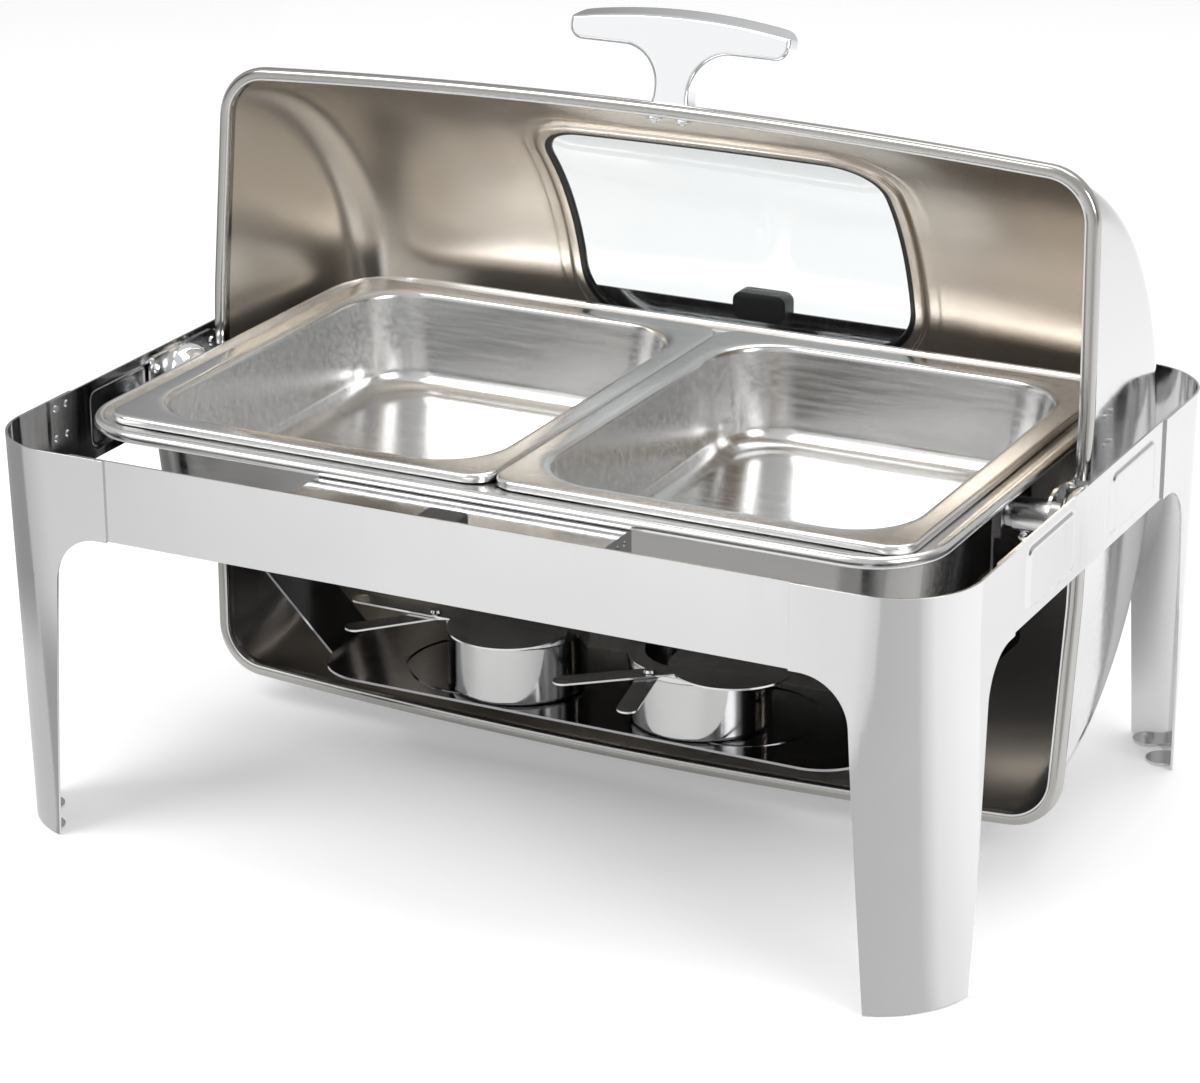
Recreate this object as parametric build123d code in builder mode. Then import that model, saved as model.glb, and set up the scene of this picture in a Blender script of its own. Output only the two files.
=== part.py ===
from build123d import *
from math import cos, radians, sin
import os

# Roll top chafer: a stand of four sheet legs and four rails, a water pan with two food pans,
# a fuel tray hung from the two pivot shafts, and a barrel lid that rolls about those shafts.
# Frame: origin at the centre of the footprint on the floor, X along the front, Y to the rear, Z up.
# The lid is drawn open, with its mouth just past vertical.

os.makedirs("parts", exist_ok=True)

# ---- driving dimensions, mm ----
STAND_LENGTH = 630.0
STAND_DEPTH = 456.0
STAND_HEIGHT = 253.0
SHEET = 1.5                     # leg and rail sheet
RAIL_HEIGHT = 51.0
FRONT_SEAM = 222.0              # legs lap the front and rear rails outside this X
SIDE_SEAM = 125.0               # legs lap the side rails outside this Y
LAP = 25.0                      # how far a rail runs behind a leg
CORNER_TOP = 50.0               # leg corner radius at the rail
CORNER_FOOT = 66.0              # leg corner radius at the floor
NECK_X, FOOT_X = 256.6, 269.5   # inner edge of a leg seen from the front, at the rail and the floor
NECK_Y, FOOT_Y = 161.5, 176.0   # the same edge seen from the side
SHOULDER_RADIUS = 30.0
SHOULDER_Z = 201.5              # top of the opening between two legs, just under the rails

AXIS_Z = 226.0                  # height of the lid's pivot axis; it lies over the stand's centre line
SHAFT_RADIUS = 10.3
SHAFT_INNER_X = 266.5
COLLAR_RADIUS = 9.3
HINGE_CLEARANCE = 0.06

LID_OPEN_ANGLE = 94.0           # opened from level, as drawn
MOUTH_OFFSET = 24.0             # the lid's mouth lies this far from the axis
LID_SHEET = 1.0
BARREL_RADIUS_MID = 206.5       # outer radius at mid length; the barrel is slightly bowed
BARREL_RADIUS_END = 197.0
LID_HALF_LENGTH = 290.0         # at the end walls' outer edge
END_BULGE = 5.0                 # the end walls swell outwards near the axis
END_FLAT_RADIUS = 62.0          # and are flat within this radius of it
LID_EDGE_RADIUS = 27.0
BEAD_OUT = 7.0                  # rolled bead round the mouth: how far it stands out
BEAD_HEIGHT = 8.0
HUB_NOTCH_RADIUS = 31.0         # the bead stops short of the pivot domes

WINDOW_TILT = 57.7              # middle of the window above the closed lid's front
WINDOW_HEIGHT = 166.0
WINDOW_WIDTH = 241.0
WINDOW_RADIUS = 34.0
LIP_WIDTH, LIP_DROP = 7.5, 3.2  # the sheet is set inwards round the window by the drop
GLASS = 3.0
GLASS_DROP = 0.1                # the pane's outer face lies this far under the barrel's outer skin
GLASS_GAP = 1.0                 # from the opening's edge to the pane's edge
GASKET_LAND = 4.0               # gasket visible inside the opening
GASKET_LIP = 2.0                # and its lip over the steel
GASKET_FACE = 0.8               # rubber over each face of the pane

HANDLE_POLAR = 67.5             # foot of the handle on the open lid, measured up from the rear
HANDLE_Y, HANDLE_DEPTH = 82.0, 15.0
HANDLE_LEAN = 18.0              # it leans to the rear of the open lid, about its foot
HANDLE_TURN_Z = 412.0
NECK_HALF, NECK_FLARE = 12.0, 25.0
FOOT_HALF, FOOT_FLARE_Z, FOOT_Z = 20.0, 427.0, 392.0
BAR_HALF, BAR_END_RADIUS = 75.0, 9.0
BAR_UNDERSIDE, BAR_END_TOP, BAR_TOP = 456.7, 475.7, 482.3
HANDLE_ROUND = 2.5
CREST_DROP, CREST_DEPTH = 6.0, 12.0    # the bar's top falls by this to the front face over this depth
HANDLE_SCREW_X, HANDLE_SCREW_RADIUS, HANDLE_SCREW_REACH = 9.7, 2.0, 9.0

EAR_X, EAR_SHEET, EAR_RADIUS, EAR_REACH = 290.0, 2.0, 19.0, 50.0
EAR_CORNER = 6.0
EAR_PAD_START = 22.0            # the ear is spaced off the end wall by a pad from here on

FOOD_PAN_LENGTH, FOOD_PAN_WIDTH = 264.0, 325.0     # half-size gastronorm pan
FOOD_PAN_DEPTH = 65.0
FOOD_PAN_FLANGE = 15.5
FOOD_PAN_TOP = 257.0
PAN_SHEET = 0.8
WATER_PAN_LENGTH, WATER_PAN_WIDTH = 560.0, 366.0
WATER_PAN_TOP = 255.2
WATER_PAN_BOTTOM = 176.0
WATER_PAN_CORNER = 48.0

TRAY_HALF_LENGTH, TRAY_HALF_WIDTH = 190.0, 58.0
TRAY_TOP = 63.5
STRAP_HALF_WIDTH = 25.0
STRAP_X = 261.5                 # middle of the strap's upright
STRAP_SHEET = 1.6
HOLDER_RADIUS = 45.0
HOLDER_HEIGHT = 43.0
RIVET_REACH = 52.0              # from a fuel holder's centre to the rivet of its shutter
HANDLE_REACH = 54.0             # from that rivet to the tip of a strip handle
COVER_SHEET = 1.2

HALF_L, HALF_D = STAND_LENGTH / 2, STAND_DEPTH / 2
RAIL_BOTTOM = STAND_HEIGHT - RAIL_HEIGHT
RAIL_MIDDLE = STAND_HEIGHT - RAIL_HEIGHT / 2
RAIL_FACE_Y = HALF_D - SHEET                       # outer face of the front and rear rails
RAIL_FACE_X = HALF_L - SHEET
AXIS_POINT = (0, 0, AXIS_Z)
PAST = 1.0                      # cuts run this far past the faces that they open
PIVOT_AXIS = Axis(AXIS_POINT, (1, 0, 0))
SIDE_VIEW = Plane(origin=(0, 0, 0), x_dir=(0, -1, 0), z_dir=(-1, 0, 0))    # X runs to the front, Y up


def keep(piece, name):
    """Label a finished piece and write its STEP file."""
    piece.part.label = name
    export_step(piece.part, f"parts/{name}.step")


def keep_mirrored(piece, name, plane):
    """Write a mirror copy of a finished piece under its own name."""
    with BuildPart() as copy:
        mirror(piece.part, about=plane)
    keep(copy, name)
    return copy


# ---- legs: one tapered rounded tube, quartered and trimmed to an outline from the front and the side ----

def footprint(height, inset):
    """Rounded rectangle of the stand at a height, drawn inset by a sheet thickness."""
    radius = CORNER_FOOT + (CORNER_TOP - CORNER_FOOT) * height / STAND_HEIGHT - inset
    RectangleRounded(STAND_LENGTH - 2 * inset, STAND_DEPTH - 2 * inset, radius)


def tapered_core(inset):
    """Solid inside of the stand's outline."""
    with BuildPart() as core:
        for height in (0, STAND_HEIGHT):
            with BuildSketch(Plane.XY.offset(height)):
                footprint(height, inset)
        loft()
    return core.part


def leg_outline(foot, neck, seam):
    """Area to remove between two legs: the taper, the shoulder and the opening for the rail."""
    top = STAND_HEIGHT + PAST
    with BuildLine() as outline:
        edge = FilletPolyline((foot, -PAST), (neck, SHOULDER_Z), (seam, SHOULDER_Z), radius=SHOULDER_RADIUS)
        Polyline(edge @ 1, (seam, top), (0, top), (0, -PAST), edge @ 0)
    make_face(outline.edges())


outer_core = tapered_core(0)
inner_core = tapered_core(SHEET)
TAB_RADIUS = 11.0
CORNER_DEPTH = 80.0             # more than a leg's rounded corner measures from front to back
foot_tabs = [(284.0, -216.0), (302.0, -190.0)]     # a rounded tab under each flange of a leg

with BuildPart() as front_right_leg:
    add(outer_core)
    add(inner_core, mode=Mode.SUBTRACT)
    with BuildSketch(Plane.XY):
        Rectangle(HALF_L + PAST, HALF_D + PAST, align=(Align.MIN, Align.MAX))
    extrude(amount=STAND_HEIGHT, mode=Mode.INTERSECT)
    with BuildSketch(Plane.XZ.offset(HALF_D + PAST)):
        leg_outline(FOOT_X, NECK_X, FRONT_SEAM)
    extrude(amount=-CORNER_DEPTH, mode=Mode.SUBTRACT)
    with BuildSketch(SIDE_VIEW.offset(-HALF_L - PAST)):
        leg_outline(FOOT_Y, NECK_Y, SIDE_SEAM)
    extrude(amount=CORNER_DEPTH, mode=Mode.SUBTRACT)
    with BuildSketch(Plane.XY):
        with Locations(*foot_tabs):
            Circle(TAB_RADIUS)
    extrude(amount=SHEET)
    add(outer_core, mode=Mode.INTERSECT)

keep(front_right_leg, "front_right_leg")
keep_mirrored(front_right_leg, "front_left_leg", Plane.YZ)
rear_right_leg = keep_mirrored(front_right_leg, "rear_right_leg", Plane.XZ)
keep_mirrored(rear_right_leg, "rear_left_leg", Plane.YZ)

# ---- rails ----
SPOT_RADIUS = 1.4
SPOT_HEAD_RADIUS = 2.3
SPOT_HEAD = 0.8
SPOT_PITCH = 19.5
spot_heights = [RAIL_MIDDLE + row * SPOT_PITCH for row in (-1, 0, 1)]
spot_steps = (7, 19)            # the two columns of spots beyond a seam
front_spot_x = [side * (FRONT_SEAM + step) for side in (-1, 1) for step in spot_steps]
side_spot_y = [side * (SIDE_SEAM + step) for side in (-1, 1) for step in spot_steps]


def spot_points(columns):
    """Grid of spot rivets on a rail's own plane, measured from the rail's middle height."""
    return [(column, height - RAIL_MIDDLE) for column in columns for height in spot_heights]


with BuildPart() as front_rail:
    with BuildSketch(Plane.XZ.offset(RAIL_FACE_Y - SHEET)):
        with Locations((0, RAIL_MIDDLE)):
            Rectangle(2 * (FRONT_SEAM + LAP), RAIL_HEIGHT)
            with Locations(*spot_points(front_spot_x)):
                Circle(SPOT_RADIUS, mode=Mode.SUBTRACT)
    extrude(amount=SHEET)

keep(front_rail, "front_rail")
keep_mirrored(front_rail, "rear_rail", Plane.XZ)

PANEL_Y = 69.0                  # middle of each pressed panel, either side of the pivot
PANEL_LENGTH, PANEL_HEIGHT = 76.0, 39.0
PANEL_RADIUS = 7.0
PANEL_SET, PANEL_TAPER = 1.0, 30                   # the hollow behind a panel is this much smaller all round
panel_places = [(-PANEL_Y, RAIL_MIDDLE), (PANEL_Y, RAIL_MIDDLE)]

with BuildPart() as right_side_rail:
    with BuildSketch(Plane.YZ.offset(RAIL_FACE_X - SHEET)):
        with Locations((0, RAIL_MIDDLE)):
            Rectangle(2 * (SIDE_SEAM + LAP), RAIL_HEIGHT)
            with Locations(*spot_points(side_spot_y)):
                Circle(SPOT_RADIUS, mode=Mode.SUBTRACT)
    extrude(amount=SHEET)
    with BuildSketch(Plane.YZ.offset(RAIL_FACE_X)):
        with Locations(*panel_places):
            RectangleRounded(PANEL_LENGTH, PANEL_HEIGHT, PANEL_RADIUS)
    extrude(amount=SHEET, taper=PANEL_TAPER)
    with BuildSketch(Plane.YZ.offset(RAIL_FACE_X - SHEET)):
        with Locations(*panel_places):
            RectangleRounded(PANEL_LENGTH - 2 * PANEL_SET, PANEL_HEIGHT - 2 * PANEL_SET,
                             PANEL_RADIUS - PANEL_SET)
    extrude(amount=SHEET, taper=PANEL_TAPER, mode=Mode.SUBTRACT)

keep(right_side_rail, "right_side_rail")
keep_mirrored(right_side_rail, "left_side_rail", Plane.YZ)

with BuildPart() as rail_rivets:
    for view, face, columns in ((Plane.XZ, RAIL_FACE_Y, front_spot_x), (Plane.YZ, RAIL_FACE_X, side_spot_y)):
        for side in (-1, 1):
            for radius, start, reach in ((SPOT_RADIUS, face - SHEET, SHEET),
                                         (SPOT_HEAD_RADIUS, face - SHEET - SPOT_HEAD, SPOT_HEAD)):
                with BuildSketch(view.offset(side * start)):
                    with Locations((0, RAIL_MIDDLE)):
                        with Locations(*spot_points(columns)):
                            Circle(radius)
                extrude(amount=side * reach)

keep(rail_rivets, "rail_rivets")

# ---- front ledge and rubber bumpers ----
LEDGE_HALF_LENGTH = 102.0
LEDGE_TOP = 247.5
LEDGE_INNER_Y = -178.0
LEDGE_DROP = 20.0
LEDGE_WELD = 14.0               # height of the flange that is welded to the rail
GUSSET_FRONT = 4.0              # height of a gusset at the rail
GUSSET_HOLE_RADIUS = 1.8
gusset_holes = [(LEDGE_INNER_Y - step, LEDGE_TOP - 6) for step in (9, 18)]
ledge_back_y = -(RAIL_FACE_Y - SHEET)
BUMPER_LENGTH, BUMPER_DEPTH, BUMPER_HEIGHT = 26.0, 19.0, 4.5
BUMPER_CORNER, BUMPER_ROUND = 3.0, 1.5

with BuildPart() as front_ledge:
    with BuildSketch(Plane.YZ.offset(-LEDGE_HALF_LENGTH)):
        with BuildLine():
            Polyline((ledge_back_y, LEDGE_TOP - LEDGE_WELD), (ledge_back_y, LEDGE_TOP),
                     (LEDGE_INNER_Y, LEDGE_TOP), (LEDGE_INNER_Y, LEDGE_TOP - LEDGE_DROP),
                     (LEDGE_INNER_Y - SHEET, LEDGE_TOP - LEDGE_DROP),
                     (LEDGE_INNER_Y - SHEET, LEDGE_TOP - SHEET),
                     (ledge_back_y + SHEET, LEDGE_TOP - SHEET),
                     (ledge_back_y + SHEET, LEDGE_TOP - LEDGE_WELD), close=True)
        make_face()
    extrude(amount=2 * LEDGE_HALF_LENGTH)
    for gusset_x in (-LEDGE_HALF_LENGTH, LEDGE_HALF_LENGTH - SHEET):
        with BuildSketch(Plane.YZ.offset(gusset_x)):
            with BuildLine():
                Polyline((LEDGE_INNER_Y, LEDGE_TOP), (LEDGE_INNER_Y, LEDGE_TOP - LEDGE_DROP),
                         (ledge_back_y, LEDGE_TOP - GUSSET_FRONT), (ledge_back_y, LEDGE_TOP), close=True)
            make_face()
            with Locations(*gusset_holes):
                Circle(GUSSET_HOLE_RADIUS, mode=Mode.SUBTRACT)
        extrude(amount=SHEET)

keep(front_ledge, "front_ledge")

with BuildPart() as front_bumper:
    with BuildSketch(Plane.XY.offset(LEDGE_TOP)):
        with Locations((0, ledge_back_y + BUMPER_DEPTH / 2)):
            RectangleRounded(BUMPER_LENGTH, BUMPER_DEPTH, BUMPER_CORNER)
    extrude(amount=BUMPER_HEIGHT)
    fillet(front_bumper.faces().sort_by(Axis.Z)[-1].edges(), BUMPER_ROUND)

keep(front_bumper, "front_bumper")

REAR_BUMPER_LENGTH, REAR_BUMPER_LOW, REAR_BUMPER_TOP = 38.0, 246.0, 265.0
REAR_BUMPER_OUT, REAR_BUMPER_DEPTH, REAR_BUMPER_CORNER = 4.0, 14.0, 6.0
with BuildPart() as rear_bumper:
    with BuildSketch(Plane.XZ.offset(-HALF_D - REAR_BUMPER_OUT)):
        with Locations((0, (REAR_BUMPER_TOP + REAR_BUMPER_LOW) / 2)):
            RectangleRounded(REAR_BUMPER_LENGTH, REAR_BUMPER_TOP - REAR_BUMPER_LOW, REAR_BUMPER_CORNER)
    extrude(amount=REAR_BUMPER_DEPTH)
    with BuildSketch(Plane.XY.offset(REAR_BUMPER_LOW - PAST)):
        with Locations((0, RAIL_FACE_Y - SHEET / 2)):
            Rectangle(REAR_BUMPER_LENGTH + PAST, SHEET)
    extrude(amount=STAND_HEIGHT - REAR_BUMPER_LOW + PAST, mode=Mode.SUBTRACT)

keep(rear_bumper, "rear_bumper")

# ---- pivots ----
PLATE_LENGTH, PLATE_HEIGHT, PLATE_CORNER = 80.0, 46.0, 8.0
PLATE_SCREW_RADIUS, PLATE_HEAD_RADIUS, PLATE_HEAD, HEAD_TAPER = 1.8, 3.4, 1.4, 25
plate_screws = [(y, z) for y in (-33, 33) for z in (-15, 15)]
plate_inner = RAIL_FACE_X - 2 * SHEET              # free face of the pivot plate
DOME_BASE, DOME_TOP, DOME_HEIGHT = 23.0, 14.5, 14.0
DOME_WAIST, DOME_WAIST_DROP = 9.0, 2.5             # a point of the dome's curve, from its base

with BuildPart() as right_pivot_plate:
    with BuildSketch(Plane.YZ.offset(plate_inner)):
        with Locations((0, AXIS_Z)):
            RectangleRounded(PLATE_LENGTH, PLATE_HEIGHT, PLATE_CORNER)
            with Locations(*plate_screws):
                Circle(PLATE_SCREW_RADIUS, mode=Mode.SUBTRACT)
    extrude(amount=SHEET)

keep(right_pivot_plate, "right_pivot_plate")
keep_mirrored(right_pivot_plate, "left_pivot_plate", Plane.YZ)

with BuildPart() as pivot_plate_screws:
    for side in (-1, 1):
        with BuildSketch(Plane.YZ.offset(side * plate_inner)):
            with Locations((0, AXIS_Z)):
                with Locations(*plate_screws):
                    Circle(PLATE_SCREW_RADIUS)
        extrude(amount=side * SHEET)
        with BuildSketch(Plane.YZ.offset(side * plate_inner)):
            with Locations((0, AXIS_Z)):
                with Locations(*plate_screws):
                    Circle(PLATE_HEAD_RADIUS)
        extrude(amount=-side * PLATE_HEAD, taper=HEAD_TAPER)

keep(pivot_plate_screws, "pivot_plate_screws")

with BuildPart() as right_pivot_dome:
    with BuildSketch(Plane.XZ):
        with BuildLine():
            base = (plate_inner, AXIS_Z + DOME_BASE)
            nose = (plate_inner - DOME_HEIGHT, AXIS_Z + DOME_TOP)
            waist = (plate_inner - DOME_WAIST, AXIS_Z + DOME_BASE - DOME_WAIST_DROP)
            ThreePointArc(base, waist, nose)
            Polyline(nose, (nose[0], AXIS_Z + SHAFT_RADIUS), (base[0], AXIS_Z + SHAFT_RADIUS), base)
        make_face()
    revolve(axis=PIVOT_AXIS)

keep(right_pivot_dome, "right_pivot_dome")
keep_mirrored(right_pivot_dome, "left_pivot_dome", Plane.YZ)

STUD_RADIUS = 6.0               # the shaft's thin end passes through the strap
SHAFT_END_X = STRAP_X - STRAP_SHEET / 2 - 3.0
SET_SCREW_RADIUS, SET_SCREW_LENGTH, SET_SCREW_HEAD = 1.6, 6.0, 3.4
set_screw_x = SHAFT_INNER_X + 5.0
set_screw_low = AXIS_Z - SHAFT_RADIUS - 2.0        # the shank stands this low, with the head round its end
with BuildPart() as right_pivot_shaft:
    with BuildSketch(Plane.XZ):
        with BuildLine():
            Polyline((plate_inner, AXIS_Z), (plate_inner, AXIS_Z + SHAFT_RADIUS),
                     (SHAFT_INNER_X, AXIS_Z + SHAFT_RADIUS), (SHAFT_INNER_X, AXIS_Z + COLLAR_RADIUS),
                     (STRAP_X + STRAP_SHEET / 2, AXIS_Z + COLLAR_RADIUS),
                     (STRAP_X + STRAP_SHEET / 2, AXIS_Z + STUD_RADIUS),
                     (SHAFT_END_X, AXIS_Z + STUD_RADIUS), (SHAFT_END_X, AXIS_Z), close=True)
        make_face()
    revolve(axis=PIVOT_AXIS)
    with BuildSketch(Plane.XY.offset(set_screw_low)):
        with Locations((set_screw_x, 0)):
            Circle(SET_SCREW_RADIUS)
    extrude(amount=SET_SCREW_LENGTH, mode=Mode.SUBTRACT)

keep(right_pivot_shaft, "right_pivot_shaft")
keep_mirrored(right_pivot_shaft, "left_pivot_shaft", Plane.YZ)

with BuildPart() as shaft_set_screws:
    for side in (-1, 1):
        with BuildSketch(Plane.XY.offset(set_screw_low)):
            with Locations((side * set_screw_x, 0)):
                Circle(SET_SCREW_RADIUS)
        extrude(amount=SET_SCREW_LENGTH)
        with Locations((side * set_screw_x, 0, set_screw_low - SET_SCREW_RADIUS)):
            Sphere(SET_SCREW_HEAD)

keep(shaft_set_screws, "shaft_set_screws")

# ---- water pan, food pans ----
LEDGE_RISE = WATER_PAN_TOP - 4.2                   # the flat on which the food pans' flanges rest
WATER_OPENING_X, WATER_OPENING_Y = 507.0, 300.0
WATER_RIM_LAP, WATER_RIM_WIDTH, RIM_ROUND = 12.0, 14.0, 2.4
WATER_BODY_RADIUS, WATER_SHRINK, WATER_FOOT_ROUND = 40.0, 5.0, 12.0
FOOD_BODY_RADIUS, FOOD_SHRINK, FOOD_FOOT_ROUND = 46.0, 7.0, 15.0
FLANGE_CORNER, FLANGE_SKIRT, SKIRT_SHEET, FLANGE_SHEET = 16.0, 5.6, 1.2, 1.0
OPEN_TOP = 0.01                 # the inside of a pan is cut this far past its rim


def drafted_body(length, width, radius, top, bottom, shrink, edge_radius):
    """Solid pan body between two heights: a loft of two rounded rectangles with a rounded lower edge."""
    with BuildPart() as body:
        with BuildSketch(Plane.XY.offset(bottom)):
            RectangleRounded(length - 2 * shrink, width - 2 * shrink, radius - shrink / 2)
        with BuildSketch(Plane.XY.offset(top)):
            RectangleRounded(length, width, radius)
        loft()
        fillet(body.edges().group_by(Axis.Z)[0], edge_radius)
    return body.part


with BuildPart() as water_pan:
    add(drafted_body(WATER_OPENING_X + 2 * PAN_SHEET, WATER_OPENING_Y + 2 * PAN_SHEET, WATER_BODY_RADIUS,
                     LEDGE_RISE, WATER_PAN_BOTTOM, WATER_SHRINK, WATER_FOOT_ROUND))
    with BuildSketch(Plane.XY.offset(LEDGE_RISE - PAN_SHEET)):
        RectangleRounded(WATER_PAN_LENGTH - WATER_RIM_LAP, WATER_PAN_WIDTH - WATER_RIM_LAP,
                         WATER_PAN_CORNER - WATER_RIM_LAP / 2)
    extrude(amount=PAN_SHEET)
    with BuildSketch(Plane.XY.offset(LEDGE_TOP)):
        RectangleRounded(WATER_PAN_LENGTH, WATER_PAN_WIDTH, WATER_PAN_CORNER)
        RectangleRounded(WATER_PAN_LENGTH - WATER_RIM_WIDTH, WATER_PAN_WIDTH - WATER_RIM_WIDTH,
                         WATER_PAN_CORNER - WATER_RIM_WIDTH / 2, mode=Mode.SUBTRACT)
    extrude(amount=WATER_PAN_TOP - LEDGE_TOP)
    rim_top = water_pan.faces().sort_by(Axis.Z)[-1]
    fillet(rim_top.edges(), RIM_ROUND)
    add(drafted_body(WATER_OPENING_X, WATER_OPENING_Y, WATER_BODY_RADIUS - 0.5, LEDGE_RISE + OPEN_TOP,
                     WATER_PAN_BOTTOM + PAN_SHEET, WATER_SHRINK, WATER_FOOT_ROUND - 0.5), mode=Mode.SUBTRACT)

keep(water_pan, "water_pan")


def food_pan(side, name):
    """Half-size pan: drafted body, flat flange with a turned-down edge."""
    body_length = FOOD_PAN_LENGTH - 2 * FOOD_PAN_FLANGE
    body_width = FOOD_PAN_WIDTH - 2 * FOOD_PAN_FLANGE
    top, bottom = FOOD_PAN_TOP, FOOD_PAN_TOP - FOOD_PAN_DEPTH
    with BuildPart() as pan:
        with BuildSketch(Plane.XY.offset(top - FLANGE_SKIRT)):
            RectangleRounded(FOOD_PAN_LENGTH, FOOD_PAN_WIDTH, FLANGE_CORNER)
        extrude(amount=FLANGE_SKIRT)
        fillet(pan.faces().sort_by(Axis.Z)[-1].edges(), RIM_ROUND)
        with BuildSketch(Plane.XY.offset(top - FLANGE_SKIRT)):
            RectangleRounded(FOOD_PAN_LENGTH - 2 * SKIRT_SHEET, FOOD_PAN_WIDTH - 2 * SKIRT_SHEET,
                             FLANGE_CORNER - SKIRT_SHEET)
        extrude(amount=FLANGE_SKIRT - FLANGE_SHEET, mode=Mode.SUBTRACT)
        add(drafted_body(body_length, body_width, FOOD_BODY_RADIUS, top - FLANGE_SHEET, bottom, FOOD_SHRINK,
                         FOOD_FOOT_ROUND))
        add(drafted_body(body_length - 2 * PAN_SHEET, body_width - 2 * PAN_SHEET,
                         FOOD_BODY_RADIUS - PAN_SHEET, top + OPEN_TOP, bottom + PAN_SHEET, FOOD_SHRINK,
                         FOOD_FOOT_ROUND - 0.5),
            mode=Mode.SUBTRACT)
    with BuildPart() as placed:
        with Locations((side * (FOOD_PAN_LENGTH / 2 + 0.5), 0, 0)):
            add(pan.part)
    keep(placed, name)


food_pan(-1, "left_food_pan")
food_pan(1, "right_food_pan")

# ---- fuel tray with its two straps ----
SLOPE_TOP_Z = TRAY_TOP + (STRAP_X - TRAY_HALF_LENGTH)
SHELF_TOP = LEDGE_RISE - PAN_SHEET
SHELF_REACH = 10.0
FLANGE_LOW, FLANGE_HIGH, FLANGE_DEPTH = 218.0, SHELF_TOP - 1.0, 5.0    # folded edges stiffen each strap's top
half_strap = STRAP_SHEET / 2
RING_X, RING_OUTER, RING_INNER, RING_DROP = 92.0, 51.0, 46.0, 1.0
TRAY_CORNER, TRAY_LAP = 36.0, 4.0

with BuildPart() as fuel_tray:
    with BuildSketch(Plane.XY.offset(TRAY_TOP - STRAP_SHEET)):
        RectangleRounded(2 * TRAY_HALF_LENGTH, 2 * TRAY_HALF_WIDTH, TRAY_CORNER)
    extrude(amount=STRAP_SHEET)
    with BuildSketch(Plane.XY.offset(TRAY_TOP - STRAP_SHEET - RING_DROP)):
        with Locations((-RING_X, 0), (RING_X, 0)):
            Circle(RING_OUTER)
            Circle(RING_INNER, mode=Mode.SUBTRACT)
    extrude(amount=RING_DROP)
    with BuildSketch(Plane.XY.offset(TRAY_TOP - RING_DROP)):
        with Locations((-RING_X, 0), (RING_X, 0)):
            Circle(RING_OUTER - RING_DROP)
            Circle(RING_INNER + RING_DROP, mode=Mode.SUBTRACT)
    extrude(amount=RING_DROP, mode=Mode.SUBTRACT)
    for side in (-1, 1):
        with BuildSketch(Plane.XZ.offset(-STRAP_HALF_WIDTH)):
            with BuildLine() as strap_run:
                Polyline((side * (TRAY_HALF_LENGTH - TRAY_LAP), TRAY_TOP - half_strap),
                         (side * TRAY_HALF_LENGTH, TRAY_TOP - half_strap),
                         (side * STRAP_X, SLOPE_TOP_Z), (side * STRAP_X, SHELF_TOP - half_strap),
                         (side * (STRAP_X + SHELF_REACH), SHELF_TOP - half_strap))
            trace(strap_run.edges(), STRAP_SHEET)
        extrude(amount=2 * STRAP_HALF_WIDTH)
        with BuildSketch(Plane.YZ.offset(side * STRAP_X)):
            for edge in (-1, 1):
                with Locations((edge * (STRAP_HALF_WIDTH - half_strap), (FLANGE_HIGH + FLANGE_LOW) / 2)):
                    Rectangle(STRAP_SHEET, FLANGE_HIGH - FLANGE_LOW)
        extrude(amount=side * FLANGE_DEPTH)
        with BuildSketch(Plane.YZ.offset(side * (STRAP_X - FLANGE_DEPTH))):
            with Locations((0, AXIS_Z)):
                Circle(STUD_RADIUS)
        extrude(amount=side * 2 * FLANGE_DEPTH, mode=Mode.SUBTRACT)

keep(fuel_tray, "fuel_tray")

# ---- fuel holders, covers and shutters ----
holders = {"left": ((-60.0, -12.0), 25.0, 25.0), "right": ((68.0, -12.0), 78.0, 38.0)}
HOLDER_WALL = 1.0
HOLDER_FOOT, HOLDER_BEAD, HOLDER_BEAD_HEIGHT = 3.0, 1.5, 4.0
COVER_Z = TRAY_TOP + HOLDER_HEIGHT
COVER_OPENING = HOLDER_RADIUS - 10.0
SHUTTER_GAP = 0.3
SHUTTER_Z = COVER_Z + COVER_SHEET + SHUTTER_GAP
STRIP_WIDTH = 13.0
FIXED_HANDLE_TURN = 24.0
SHUTTER_RADIUS = 39.0
SHUTTER_NECK = 8.0              # how far the strip runs into the shutter's disc
RIVET_RADIUS = 2.2
RIVET_HEAD_RADIUS, RIVET_HEAD, RIVET_HEAD_Z = 4.0, 1.6, SHUTTER_Z + COVER_SHEET + SHUTTER_GAP


def polar(origin, reach, angle):
    """Point at a distance and a compass angle from an origin, in plan."""
    return (origin[0] + reach * cos(radians(angle)), origin[1] + reach * sin(radians(angle)))


def strip_handle(start, angle, reach, width):
    """Flat strip with round ends, from a start point along an angle."""
    middle = polar(start, reach / 2, angle)
    with Locations(Location((middle[0], middle[1], 0), (0, 0, angle))):
        SlotOverall(reach + width, width)


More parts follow.
